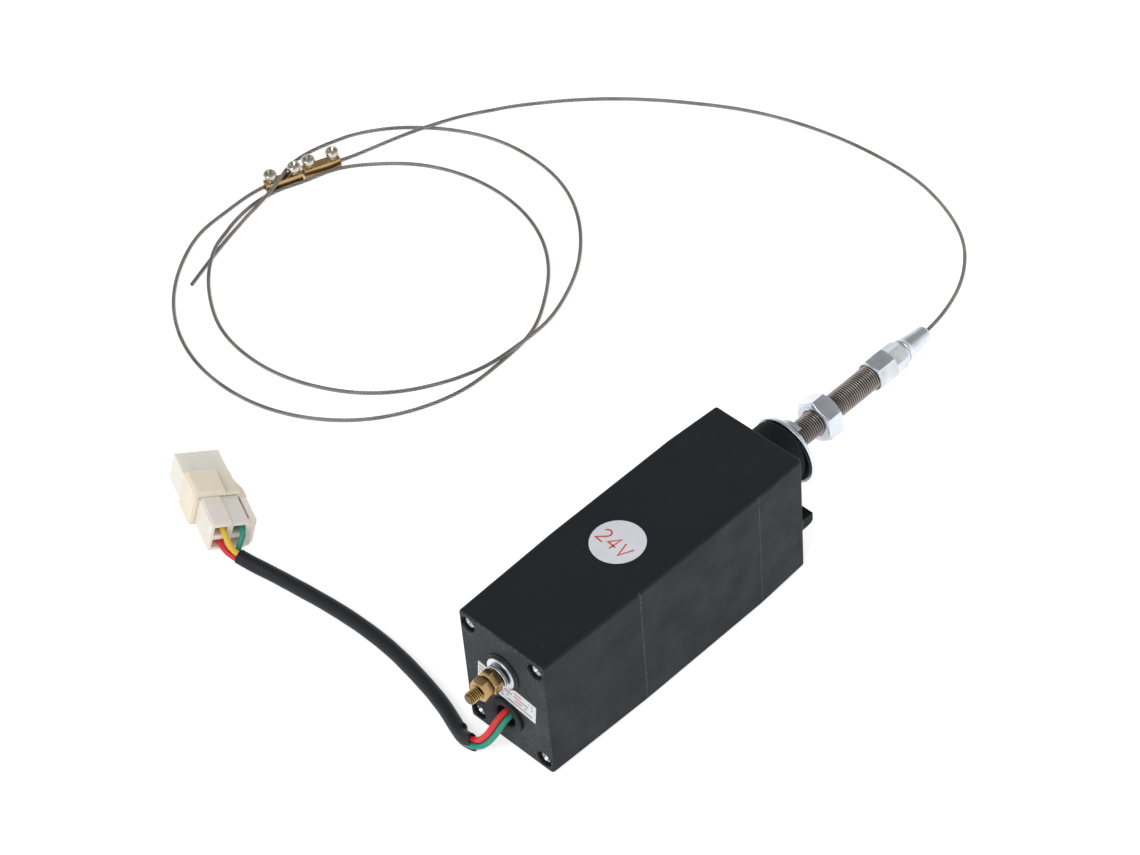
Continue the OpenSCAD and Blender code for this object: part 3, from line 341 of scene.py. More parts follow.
@cache
def speck_group():
    """Scattered dust specks."""
    tree, given, give = node_tree("Dust Specks", "ShaderNodeTree", {
        "Spacing": 0.004, "Speck Size": 0.07, "Share": 0.4}, "Mask")
    place = put(tree, "ShaderNodeVectorMath", {0: object_place(tree), 3: 1.0 / given["Spacing"]},
                operation="SCALE")
    cells = put(tree, "ShaderNodeTexVoronoi", {"Vector": place, "Scale": 1.0, "Randomness": 1.0})
    pick = put(tree, "ShaderNodeSeparateColor", {0: Value(cells.outputs["Color"])})
    chosen = Value(pick) < given["Share"]
    size = given["Speck Size"] * Value(pick.outputs[1])
    give("Mask", (Value(cells.outputs["Distance"]) < size) * chosen)
    return tree


@cache
def radius_group():
    """How far out a point lies from an axis along X, from 0 in the roots to 1 on the crests."""
    tree, given, give = node_tree("Distance From Axis", "ShaderNodeTree", {
        "Axis Z": 0.0, "Inner": 0.005, "Outer": 0.006}, "Mask")
    _, y, z = place_parts(tree)
    z = z - given["Axis Z"]
    give("Mask", spread(calc("SQRT", y * y + z * z), given["Inner"], given["Outer"]))
    return tree


@cache
def turned_group():
    """Fine turning lines round an axis along X."""
    tree, given, give = node_tree("Turned Lines", "ShaderNodeTree", {"Spacing": 0.0003}, "Height")
    x = place_parts(tree)[0]
    give("Height", Value(put(tree, "ShaderNodeTexNoise", {
        "W": x / given["Spacing"], "Scale": 1.0, "Detail": 2.0}, noise_dimensions="1D")))
    return tree


@cache
def edge_group():
    """A speckled line across the housing at one place along X, partly wear and partly painted
    highlight, fainter on the top.
    """
    tree, given, give = node_tree("Worn Edge", "ShaderNodeTree", {
        "Place": 0.0, "Width": 0.0003, "Top": 0.07, "Top Share": 0.3}, "Mask")
    x, _, z = place_parts(tree)
    away = calc("ABSOLUTE", x - given["Place"])
    line = calc("SUBTRACT", 1.0, away / given["Width"], clamp=True)
    broken = spread(noise(tree, 0.0011, 3.0, 0.7), 0.40, 0.62, 0.15, 1.0)
    give("Mask", line * broken * (1.0 - (z > given["Top"]) * (1.0 - given["Top Share"])))
    return tree


@cache
def beyond_group():
    """Everything past one place along a direction, with a soft start."""
    tree, given, give = node_tree("Beyond Place", "ShaderNodeTree", {
        "Direction": (1.0, 0.0, 0.0), "Place": 0.0, "Blend": 0.001}, "Mask")
    reach = put(tree, "ShaderNodeVectorMath", {0: object_place(tree), 1: given["Direction"]},
                operation="DOT_PRODUCT")
    past = Value(reach.outputs["Value"]) - given["Place"]
    give("Mask", calc("DIVIDE", past, given["Blend"], clamp=True))
    return tree


# ---------------------------------------------------------------- finishes

FINISHES = {}
DUST = (0.20, 0.20, 0.20)
# tone of the edge lines: partly wear, partly painted highlight
EDGE_WEAR_AND_HIGHLIGHT = (0.22, 0.23, 0.25)


def title_of(key):
    return key.replace("_", " ").title().replace("Ior", "IOR")


class Finish:
    """A material under construction: its node tree and its Principled shader."""

    def __init__(self, name, base, **constants):
        self.material = bpy.data.materials.new(name)
        self.material.use_nodes = True
        self.tree = self.material.node_tree
        self.shader = self.tree.nodes["Principled BSDF"]
        self.set("Base Color", (*base[:3], 1))
        for key, value in constants.items():
            self.set(title_of(key), value)
        FINISHES[name] = self.material

    def set(self, socket, value):
        target = self.shader.inputs[socket]
        if isinstance(value, Value):
            self.tree.links.new(value.socket, target)
        else:
            target.default_value = value

    def bump(self, height, distance, strength):
        self.set("Normal", Value(put(self.tree, "ShaderNodeBump", {
            "Height": height, "Distance": distance, "Strength": strength})))

    def effect(self, group, **values):
        """Places a shared effect, and gives its outputs by name."""
        node = put(self.tree, "ShaderNodeGroup", node_tree=group())
        for key, value in values.items():
            node.inputs[title_of(key)].default_value = value
        return {s.name: Value(s) for s in node.outputs}


def lighter(c, factor):
    return tuple(min(1.0, v * factor) for v in c[:3])


def surface(name, base, grain, patch, tones, marks=None, bump=None, **constants):
    """A material with fine grain, slow changes between two tones, and handling marks.

    tones are shares of the base colour, or other colours; marks is (size, lowest roughness,
    highest roughness) and bump is (depth, strength)."""
    f = Finish(name, base, **constants)
    fine = f.effect(grain_group, grain_size=grain, patch_size=patch)
    f.colour = blend(fine["Patch"], *(
        tone if isinstance(tone, tuple) else lighter(base, tone) for tone in tones))
    f.set("Base Color", f.colour)
    if marks:
        size, low, high = marks
        f.roughness = f.effect(handling_group, size=size, low=low, high=high)["Roughness"]
        f.set("Roughness", f.roughness)
    if bump:
        f.bump(fine["Height"], *bump)
    return f


def moulded(name, base, low=0.5, high=0.66, grain=0.0007, depth=0.00001, specks=0.25,
            edges=(), painted_shade_beyond=None):
    """Black moulded plastic with an eroded grain, handling marks and a little dust; edges are
    lines of wear and painted highlight as (place, half width, strength), in millimetres; past a
    given place along X the plastic is darkened with painted shade."""
    f = surface(name, base, grain, 0.035, (0.94, 1.06), (0.02, low, high), (depth, 0.5),
                specular_ior_level=0.26, specular_tint=(0.86, 0.94, 1.0, 1))
    dust = f.effect(speck_group, spacing=0.0055, speck_size=0.055, share=specks)["Mask"]
    tone = blend(dust * 0.30, f.colour, DUST)
    # each edge line lightens the plastic: partly wear, partly painted highlight
    for place, width, strength in edges:
        wear_and_highlight = f.effect(edge_group, place=place * MM, width=width * MM, top=HOUSING_TOP * MM,
                        top_share=0.08)["Mask"]
        tone = blend(wear_and_highlight * strength, tone, EDGE_WEAR_AND_HIGHLIGHT)
    if painted_shade_beyond is not None:
        # the boss past the front face is darkened with painted shade
        mask = f.effect(beyond_group, place=painted_shade_beyond * MM, blend=0.00001)["Mask"]
        tone = blend(mask, tone, lighter(base, 0.18))
        f.set("Roughness", f.roughness * (1.0 + mask * 0.25))
    f.set("Base Color", tone)


def plated(name, base, low, high, stain=0.93, tint=None):
    """Bright plated metal with faint clouding towards a tint."""
    surface(name, base, 0.0009, 0.006, (tint or stain, 1.04), (0.006, low, high),
            (0.000005, 0.3), metallic=1.0)


def threaded(name, base, axis_z, inner, outer, root, low=0.24, high=0.36):
    """Metal thread whose roots are darkened with painted shade; sizes in millimetres."""
    f = surface(name, base, 0.0012, 0.007, (0.84, 1.1), (0.004, low, high), metallic=1.0)
    crest = f.effect(radius_group, axis_z=axis_z * MM, inner=inner * MM, outer=outer * MM)
    # root darkens the thread roots: painted shade
    f.set("Base Color", blend(crest["Mask"], lighter(base, root), f.colour))


def turned_metal(name, base, low=0.22, high=0.36):
    """Turned metal with fine tool lines."""
    f = surface(name, base, 0.001, 0.008, (0.85, 1.08), (0.006, low, high), metallic=1.0)
    f.bump(f.effect(turned_group, spacing=0.00025)["Height"], 0.00001, 0.4)


def insulation(name, base):
    """Glossy soft plastic of a wire."""
    surface(name, base, 0.002, 0.012, (0.9, 1.08), (0.008, 0.34, 0.46), (0.00003, 0.25),
            specular_ior_level=0.4)


def rope_steel(name, base):
    """Twisted steel strands: painted shade between them and fine single wires across each."""
    f = surface(name, base, 0.0012, 0.02, (1.0, 1.6), (0.01, 0.3, 0.42), metallic=1.0)
    crest, along, around = (
        Value(put(f.tree, "ShaderNodeAttribute", attribute_name=key).outputs["Fac"])
        for key in ("crest", "along", "round"))
    phase = along * (1.0 / WIRE_SPACING) + around * -2.4
    wires = calc("ABSOLUTE", calc("SINE", phase * math.pi))
    metal = blend(spread(wires, 0.0, 0.5), lighter(base, 0.6), f.colour)
    # the strands' roots are darkened almost to black: painted shade
    f.set("Base Color", blend(spread(crest, 0.35, 1.0), lighter(base, 0.04), metal))
    f.bump(wires, 0.00008, 0.5)


def nylon(name, base, beyond=None, other=None):
    """Milky moulded nylon; past a place along the connector it takes another tone."""
    f = surface(name, base, 0.0015, 0.011, (0.955, 1.03), (0.01, 0.34, 0.47), (0.00005, 0.3),
                subsurface_weight=0.4, subsurface_scale=0.005,
                subsurface_radius=(1.0, 0.75, 0.5), specular_ior_level=0.4)
    if other:
        mask = f.effect(beyond_group, direction=tuple(PLUG_TURN.col[0]), place=beyond * MM)
        f.set("Base Color", blend(mask["Mask"], f.colour, other))


def paper(name, base, roughness=0.5):
    """Printed label stock with a faint fibre grain."""
    return surface(name, base, 0.0008, 0.006, (0.965, 1.02), None, (0.00002, 0.2),
                   roughness=roughness, specular_ior_level=0.4)


def printed_label(name, base):
    """Label stock with rows of plain blocks in place of print."""
    f = paper(name, base, 0.48)
    _, y, z = place_parts(f.tree)
    z = z - LABEL_Z * MM
    tilt = math.radians(7)
    across = y * math.cos(tilt) + z * math.sin(tilt)
    up = z * math.cos(tilt) - y * math.sin(tilt)
    row = up / 0.0023
    cell = put(f.tree, "ShaderNodeCombineXYZ", {0: across / 0.0026, 1: calc("FLOOR", row) * 7.3})
    words = Value(put(f.tree, "ShaderNodeTexNoise", {"Vector": cell, "Scale": 1.0, "Detail": 0.0}))
    line = calc("FRACT", row)
    block = (line > 0.30) * (line < 0.78) * (words > 0.42)
    area = (calc("ABSOLUTE", up) < 0.0045) * (calc("ABSOLUTE", across) < 0.0160)
    tone = (0.10, 0.10, 0.12)
    for start, end, tint in ((-0.0105, -0.005, (0.42, 0.09, 0.08)),
                             (-0.0125, -0.0105, (0.05, 0.27, 0.27))):
        tone = blend((across > start) * (across < end), tone, tint)
    f.set("Base Color", blend(block * area * 0.72, f.colour, tone))


def make_finishes(c):
    """Every finish of the object, from the colours in the settings."""
    # past the front face the boss is darkened with painted shade; the lines at seam, nose and front
    # are wear and painted highlight
    moulded("housing_plastic", c.housing, painted_shade_beyond=FRONT_X + 0.5, edges=(
        (SEAM_X, 0.4, 0.7), (NOSE_X, 0.35, 0.45), (FRONT_X - 0.3, 0.5, 0.35)))
    # the lines at the seam and the rear edge are wear and painted highlight
    moulded("cover_plastic", lighter(c.housing, 1.04),
            edges=((SEAM_X, 0.4, 0.7), (REAR_X + 0.3, 0.6, 0.3)))
    moulded("rubber", c.rubber, 0.55, 0.7, 0.0011, 0.00002, 0.1)
    moulded("insulator_plastic", lighter(c.rubber, 0.9), 0.42, 0.55, 0.0009, 0.00001, 0.2)
    moulded("sleeve_plastic", c.sleeve, 0.40, 0.52, 0.0016, 0.00004, 0.25)
    moulded("seal_rubber", lighter(c.rubber, 0.5), 0.5, 0.6, 0.0011, 0.00001, 0.1)
    moulded("bobbin_plastic", (0.022, 0.022, 0.026), 0.4, 0.5)
    moulded("bumper_rubber", (0.016, 0.013, 0.013), 0.6, 0.75)
    plated("zinc_plate", c.zinc, 0.26, 0.36)
    plated("nut_zinc", c.zinc, 0.19, 0.26)
    plated("washer_zinc", lighter(c.zinc, 1.08), 0.25, 0.36)
    plated("screw_plate", lighter(c.zinc, 1.05), 0.24, 0.34)
    plated("nut_brass", (0.45, 0.295, 0.135), 0.22, 0.3, stain=0.94)
    plated("bar_bronze", c.bronze, 0.14, 0.24, stain=0.85)
    plated("clamp_screw_metal", lighter(c.bright, 0.86), 0.13, 0.22, tint=(0.56, 0.54, 0.46))
    plated("contact_tin", (0.70, 0.64, 0.46), 0.25, 0.4)
    plated("frame_steel", (0.46, 0.46, 0.47), 0.35, 0.5)
    plated("spring_steel", (0.40, 0.40, 0.42), 0.25, 0.4)
    turned_metal("fitting_zinc", c.zinc, 0.24, 0.33)
    turned_metal("core_steel", (0.50, 0.50, 0.51))
    turned_metal("plunger_steel", (0.60, 0.61, 0.63))
    turned_metal("guide_brass", c.brass)
    turned_metal("ferrule_bronze", c.bronze)
    turned_metal("rope_plain", c.rope, 0.36, 0.5)
    # the last number darkens the thread roots with painted shade
    threaded("neck_plating", c.neck, NECK_Z, 5.25, 5.95, 0.28)
    threaded("stud_brass", c.brass, STUD_Z, 2.4, 2.95, 0.25, 0.16, 0.26)
    rope_steel("rope_steel", c.rope)
    insulation("red_insulation", c.red)
    insulation("green_insulation", c.green)
    insulation("yellow_insulation", c.yellow)
    insulation("terminal_board", (0.055, 0.042, 0.030))
    insulation("lead_insulation", (0.62, 0.42, 0.22))
    nylon("plug_nylon", c.nylon)
    warm = tuple(a * b for a, b in zip(c.nylon[:3], (1.0, 0.965, 0.86)))
    nylon("mating_nylon", warm, PLUG_PLACE.dot(PLUG_TURN.col[0]) + 34.1, (0.90, 0.85, 0.74))
    paper("sticker_paper", c.paper)
    paper("sticker_ink", c.ink, 0.42)
    printed_label("label_print", c.label)
    copper = Finish("winding_copper", (0.46, 0.17, 0.055), metallic=1.0, roughness=0.34)
    copper.bump(copper.effect(turned_group, spacing=0.0004)["Height"], 0.0001, 0.8)


# ---------------------------------------------------------------- mesh helpers

def smooth_by_angle(mesh, degrees=32):
    for polygon in mesh.polygons:
        polygon.use_smooth = True
    mesh.set_sharp_from_angle(angle=math.radians(degrees))


def settle(obj):
    """Turns an object's modifiers into plain mesh and removes them."""
    bpy.context.view_layer.update()
    evaluated = obj.evaluated_get(bpy.context.evaluated_depsgraph_get())
    mesh = bpy.data.meshes.new_from_object(evaluated)
    obj.modifiers.clear()
    obj.data = mesh
    mesh.name = obj.name
    return obj


def soft_normals(obj):
    m = obj.modifiers.new("normals", "WEIGHTED_NORMAL")
    m.keep_sharp = True
    m.weight = 60


def add_object(name, data):
    obj = bpy.data.objects.new(name, data)
    bpy.context.scene.collection.objects.link(obj)
    return obj


def new_object(name, mesh, finish):
    mesh.materials.clear()
    mesh.materials.append(FINISHES[finish])
    return add_object(name, mesh)


def solid(name, points, faces, finish, degrees=32):
    """An object from points in millimetres and faces."""
    mesh = bpy.data.meshes.new(name)
    mesh.from_pydata([Vector(p) * MM for p in points], [], faces)
    mesh.validate()
    smooth_by_angle(mesh, degrees)
    obj = new_object(name, mesh, finish)
    soft_normals(obj)
    return settle(obj)


def outward(mesh, weld=0.0):
    """Turns the faces outward, after merging points that lie within the weld distance."""
    bm = bmesh.new()
    bm.from_mesh(mesh)
    if weld:
        bmesh.ops.remove_doubles(bm, verts=bm.verts, dist=weld)
    bmesh.ops.recalc_face_normals(bm, faces=bm.faces)
    bm.to_mesh(mesh)
    bm.free()


def absorb(obj, other):
    """Joins another object's mesh into obj, both at the origin."""
    bm = bmesh.new()
    bm.from_mesh(obj.data)
    bm.from_mesh(other.data)
    mesh = bpy.data.meshes.new(obj.name)
    bm.to_mesh(mesh)
    bm.free()
    mesh.materials.append(obj.data.materials[0])
    mesh.polygons.foreach_set("material_index", [0] * len(mesh.polygons))
    obj.data = mesh
    bpy.data.objects.remove(other)


def finish_piece(obj, *nodes):
    """The piece rides on the housing and stands for its CAD nodes."""
    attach(obj, "housing")
    if nodes:
        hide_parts(*nodes)
    return obj


def add_piece(name, shape, finish, *nodes, degrees=32):
    """A piece made from points, in millimetres, and faces."""
    obj = solid(name, *shape, finish, degrees)
    outward(obj.data)
    return finish_piece(obj, *nodes)


def loft(rings, closed=False):
    """Points and faces through rings of equal length; closed joins the last ring to the first."""
    n, count = len(rings[0]), len(rings)
    points = [p for ring in rings for p in ring]
    faces = []
    for i in range(count if closed else count - 1):
        j = (i + 1) % count
        for k in range(n):
            q = (k + 1) % n
            faces.append((i * n + k, j * n + k, j * n + q, i * n + q))
    if not closed:
        faces.append(tuple(range(n)))
        faces.append(tuple(reversed(range((count - 1) * n, count * n))))
    return points, faces


def merge_parts(*parts):
    points, faces = [], []
    for p, f in parts:
        faces += [tuple(i + len(points) for i in face) for face in f]
        points += list(p)
    return points, faces


def rounded(corners, steps=4):
    """A closed outline (x, r, radius) with each corner rounded by its radius."""
    out = []
    n = len(corners)
    for i, (x, r, radius) in enumerate(corners):
        here = Vector((x, r))
        if radius <= 0:
            out.append((x, r))
            continue
        a = (Vector(corners[i - 1][:2]) - here)
        b = (Vector(corners[(i + 1) % n][:2]) - here)
        reach = min(radius / math.tan(a.angle(b) / 2), a.length * 0.49, b.length * 0.49)
        start, end = here + a.normalized() * reach, here + b.normalized() * reach
        for s in range(steps + 1):
            t = s / steps
            out.append(tuple(start * (1 - t) ** 2 + here * 2 * t * (1 - t) + end * t * t))
    return out


def circle_ring(x, r, angles, axis_z, axis_y=0.0):
    return [(x, axis_y + r * math.cos(a), axis_z + r * math.sin(a)) for a in angles]


def turned(outline, axis_z, axis_y=0.0, segments=96):
    """Turns a closed outline of (x, radius) round an axis along X."""
    angles = [2 * math.pi * k / segments for k in range(segments)]
    return loft([circle_ring(x, r, angles, axis_z, axis_y) for x, r in outline], closed=True)


def hexagon_angles(flats, corner, rounding):
    """Angles from one corner all round, close together where the corners are rounded."""
    inner = (flats / 2 - rounding) / math.cos(math.pi / 6)
    reach = math.atan2(rounding / 2, inner + rounding * math.cos(math.pi / 6))
    offsets = [reach * k / 2 for k in range(-2, 3)]
    offsets += [reach + (math.pi / 3 - 2 * reach) * k / 8 for k in range(1, 8)]
    return [corner + math.pi / 3 * i + o for i in range(6) for o in offsets]


def hexagon_radius(flats, angle, corner, rounding):
    """Radius of a hexagon's outline at an angle, with its corners rounded."""
    a = (angle - corner + math.pi / 6) % (math.pi / 3) - math.pi / 6
    straight = flats / 2 / math.cos(math.pi / 6 - abs(a))
    inner = (flats / 2 - rounding) / math.cos(math.pi / 6)
    under = rounding ** 2 - (inner * math.sin(a)) ** 2
    return min(straight, inner * math.cos(a) + math.sqrt(under)) if under > 0 else straight


def hexagon_rings(x0, x1, flats, corner, axis_z, angles, soft, rounding, face=0.93, slope=0.65,
                  chamfer_start=True):
    """Rings of a hexagon from x0 to x1 with chamfered ends and softened edges."""
    flat = flats / 2 * face
    run = Vector((slope, 1)).normalized() * soft

    def ring(place):
        points = [place(hexagon_radius(flats, a, corner, rounding)) for a in angles]
        return [(x, r * math.cos(a), axis_z + r * math.sin(a)) for a, (x, r) in zip(angles, points)]

    def end(x, way):
        def meeting(r):
            return Vector((x + way * (r - flat) * slope, r))

        def on_cone(r):
            return meeting(r) - Vector((way * run.x, run.y))

        def on_side(r):
            return meeting(r) + Vector((way * soft, 0))

        return [ring(lambda r: (x, flat - soft)),
                ring(lambda r: (x + way * run.x * 0.25, flat)),
                ring(lambda r: (x + way * run.x, flat + run.y)),
                ring(on_cone),
                ring(lambda r: meeting(r) * 0.5 + (on_cone(r) + on_side(r)) * 0.25),
                ring(on_side)]

    first = end(x0, 1) if chamfer_start else [ring(lambda r: (x0, r))]
    return first + end(x1, -1)[::-1]


def nut(x0, x1, flats, bore, corner_degrees, axis_z, sink, soft, rounding):
    """A hexagon nut with its bore countersunk at both ends."""
    corner = math.radians(corner_degrees)
    angles = hexagon_angles(flats, corner, rounding)
    rings = [circle_ring(x0 + sink, bore, angles, axis_z),
             circle_ring(x0, bore + sink, angles, axis_z)]
    rings += hexagon_rings(x0, x1, flats, corner, axis_z, angles, soft=soft, rounding=rounding)
    rings += [circle_ring(x1, bore + sink, angles, axis_z),
              circle_ring(x1 - sink, bore, angles, axis_z)]
    return loft(rings, closed=True)


def split_washer(bore, outer, x0, thickness, rise, turn, axis_z, steps=120, gap=9.0):
    """One turn of a square section whose ends stand apart; radii in millimetres."""
    bevel = 0.18
    section = [(bore, bevel), (bore, thickness - bevel), (bore + bevel, thickness),
               (outer - bevel, thickness), (outer, thickness - bevel), (outer, bevel),
               (outer - bevel, 0), (bore + bevel, 0)]
    rings = []
    for i in range(steps + 1):
        a = math.radians(turn + gap / 2 + i * (360 - gap) / steps)
        x = x0 + rise * i / steps
        rings.append([(x + t, r * math.cos(a), axis_z + r * math.sin(a)) for r, t in section])
    points, faces = loft(rings)
    return points, [tuple(reversed(f)) for f in faces]


def from_node(name, node, finish, bevel=0.0, segments=3, chosen=None, sharp_x=None):
    """A piece that is a smooth copy of a CAD node with bevelled edges; chosen picks the edges by
    their ends, and edges that lie across at sharp_x stay sharp."""
    bm = bmesh.new()
    bm.from_mesh(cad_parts[node].data)
    bmesh.ops.remove_doubles(bm, verts=bm.verts, dist=1e-6)
    bmesh.ops.dissolve_limit(bm, angle_limit=math.radians(0.6), verts=bm.verts, edges=bm.edges)
    if chosen:
        weight = bm.edges.layers.float.get("bevel_weight_edge") or bm.edges.layers.float.new(
            "bevel_weight_edge")
        for edge in bm.edges:
            a, b = (v.co / MM for v in edge.verts)
            if len(edge.link_faces) == 2 and edge.calc_face_angle(0) > 0.6 and chosen(a, b):
                edge[weight] = 1.0
    mesh = bpy.data.meshes.new(name)
    bm.to_mesh(mesh)
    bm.free()
    obj = new_object(name, mesh, finish)
    if bevel:
        m = obj.modifiers.new("bevel", "BEVEL")
        m.width = bevel
        m.segments = segments
        m.limit_method = "WEIGHT" if chosen else "ANGLE"
        m.angle_limit = math.radians(34)
        m.use_clamp_overlap = True
        m.loop_slide = False
    settle(obj)
    smooth_by_angle(obj.data)
    for edge in obj.data.edges if sharp_x is not None else ():
        a, b = (obj.data.vertices[i].co.x / MM for i in edge.vertices)
        if abs(a - sharp_x) < 0.02 and abs(b - sharp_x) < 0.02:
            edge.use_edge_sharp = True
    obj.data.materials.clear()
    obj.data.materials.append(FINISHES[finish])
    soft_normals(obj)
    return finish_piece(settle(obj), node)


def subtract(obj, cutters):
    """Cuts objects out of obj and removes them."""
    for cutter in cutters:
        m = obj.modifiers.new("cut", "BOOLEAN")
        m.operation = "DIFFERENCE"
        m.solver = "EXACT"
        m.object = cutter
    settle(obj)
    for cutter in cutters:
        bpy.data.objects.remove(cutter)


# ---------------------------------------------------------------- paths

def spline_through(points, step):
    """Evenly spaced points, about step apart, on a smooth curve through the given ones."""
    p = np.array(points, float)
    t = np.concatenate([[0], np.cumsum(np.linalg.norm(np.diff(p, axis=0), axis=1))])
    h = np.diff(t)
    n = len(p)
    a = np.zeros((n, n))
    b = np.zeros((n, 3))
    a[0, 0] = a[-1, -1] = 1
    for i in range(1, n - 1):
        a[i, i - 1:i + 2] = h[i - 1], 2 * (h[i - 1] + h[i]), h[i]
        b[i] = 6 * ((p[i + 1] - p[i]) / h[i] - (p[i] - p[i - 1]) / h[i - 1])
    m = np.linalg.solve(a, b)

    def at(s):
        i = np.clip(np.searchsorted(t, s) - 1, 0, n - 2)
        u, v, w = (t[i + 1] - s)[:, None], (s - t[i])[:, None], h[i][:, None]
        return (m[i] * u ** 3 + m[i + 1] * v ** 3) / (6 * w) \
            + (p[i] / w - m[i] * w / 6) * u + (p[i + 1] / w - m[i + 1] * w / 6) * v

    fine = at(np.linspace(0, t[-1], max(400, int(t[-1] / step) * 4)))
    d = np.concatenate([[0], np.cumsum(np.linalg.norm(np.diff(fine, axis=0), axis=1))])
    even = np.linspace(0, d[-1], int(round(d[-1] / step)) + 1)
    return np.stack([np.interp(even, d, fine[:, k]) for k in range(3)], axis=1)


def carried_sides(path):
    """Directions along a path, and two side vectors carried along it without twist."""
    directions = np.gradient(path, axis=0)
    directions /= np.linalg.norm(directions, axis=1)[:, None]
    sides = []
    s = np.array((0.0, 0.0, 1.0))
    for d in directions:
        s = s - (s @ d) * d
        s /= np.linalg.norm(s)
        sides.append(s)
    return directions, np.array(sides), np.cross(directions, sides)


def loose_points(name, points=(), edges=()):
    """An object with points, in metres, and edges only."""
    mesh = bpy.data.meshes.new(name)
    mesh.from_pydata([tuple(p) for p in points], edges, [])
    return add_object(name, mesh)


def line_object(name, path):
    return loose_points(name, path, [(i, i + 1) for i in range(len(path) - 1)])


# ---------------------------------------------------------------- geometry node trees

def run_tree(obj, tree, finish, **values):
    """Gives obj the tree with its input values, and makes the result a plain mesh."""
    m = obj.modifiers.new(tree.name, "NODES")
    m.node_group = tree
    ids = {item.name: item.identifier for item in tree.interface.items_tree
           if item.item_type == "SOCKET" and item.in_out == "INPUT"}
    for key, value in {**values, "material": FINISHES[finish]}.items():
        m[ids[title_of(key)]] = value
    settle(obj)
    obj.data.materials.clear()
    obj.data.materials.append(FINISHES[finish])
    obj.data.polygons.foreach_set("material_index", [0] * len(obj.data.polygons))
    return obj


def geometry_tree(name, inputs):
    return node_tree(name, "GeometryNodeTree", {**inputs, "Material": "Material"}, "Geometry")


def finish_tree(tree, geometry, given, give):
    """Ends a tree: real geometry with its material."""
    real = put(tree, "GeometryNodeRealizeInstances", {0: geometry})
    give("Geometry", Value(put(tree, "GeometryNodeSetMaterial", {
        "Geometry": real, "Material": given["Material"]})))
    return tree


def sweep(tree, curve, section, given, give):
    """Ends a tree with a smooth closed tube along a curve."""
    mesh = put(tree, "GeometryNodeCurveToMesh", {
        "Curve": curve, "Profile Curve": section, "Fill Caps": True})
    return finish_tree(tree, put(tree, "GeometryNodeSetShadeSmooth", {0: mesh}), given, give)


def circle(tree, resolution, radius):
    return put(tree, "GeometryNodeCurvePrimitiveCircle", {
        "Resolution": resolution, "Radius": radius})


def store(tree, geometry, name, value):
    return put(tree, "GeometryNodeStoreNamedAttribute", {
        "Geometry": geometry, "Name": name, "Value": value}, data_type="FLOAT", domain="POINT")


@cache
def tube_tree():
    """Round tube along a line."""
    tree, given, give = geometry_tree("Tube Along Line", {
        "Line": "Geometry", "Radius": 0.001, "Sides": 24})
    line = put(tree, "GeometryNodeMeshToCurve", {0: given["Line"]})
    return sweep(tree, line, circle(tree, given["Sides"], given["Radius"]), given, give)


@cache
def rope_tree():
    """Twisted strands along a line, with attributes for the strands' crests."""
    tree, given, give = geometry_tree("Twisted Rope", {
        "Line": "Geometry", "Radius": 0.001, "Strands": 6, "Lay": 0.011})
    line = put(tree, "GeometryNodeMeshToCurve", {0: given["Line"]})
    along = Value(put(tree, "GeometryNodeSplineParameter").outputs["Length"])
    tilted = put(tree, "GeometryNodeSetCurveTilt", {
        "Curve": line, "Tilt": along / given["Lay"] * (2 * math.pi)})
    curve = store(tree, tilted, "along", along)
    steps = given["Strands"] * 6.0
    angle = Value(put(tree, "GeometryNodeInputIndex")) * (2 * math.pi) / steps
    wedge = 2 * math.pi / given["Strands"]
    local = calc("MODULO", angle + 1e-4, wedge) - wedge * 0.5
    # outline of a ring of round strands that touch each other
    share = calc("SINE", wedge * 0.5)
    strand = share / (share + 1.0)
    distance = 1.0 - strand
    lateral = distance * calc("SINE", local)
    height = calc("SQRT", calc("MAXIMUM", strand * strand - lateral * lateral, 0.0))
    r = (distance * calc("COSINE", local) + height) * given["Radius"]
    section = store(tree, circle(tree, steps, 1.0), "crest", height / strand)
    section = store(tree, section, "round", local)
    place = put(tree, "ShaderNodeCombineXYZ", {
        0: r * calc("COSINE", angle), 1: r * calc("SINE", angle)})
    shaped = put(tree, "GeometryNodeSetPosition", {"Geometry": section, "Position": place})
    return sweep(tree, curve, shaped, given, give)


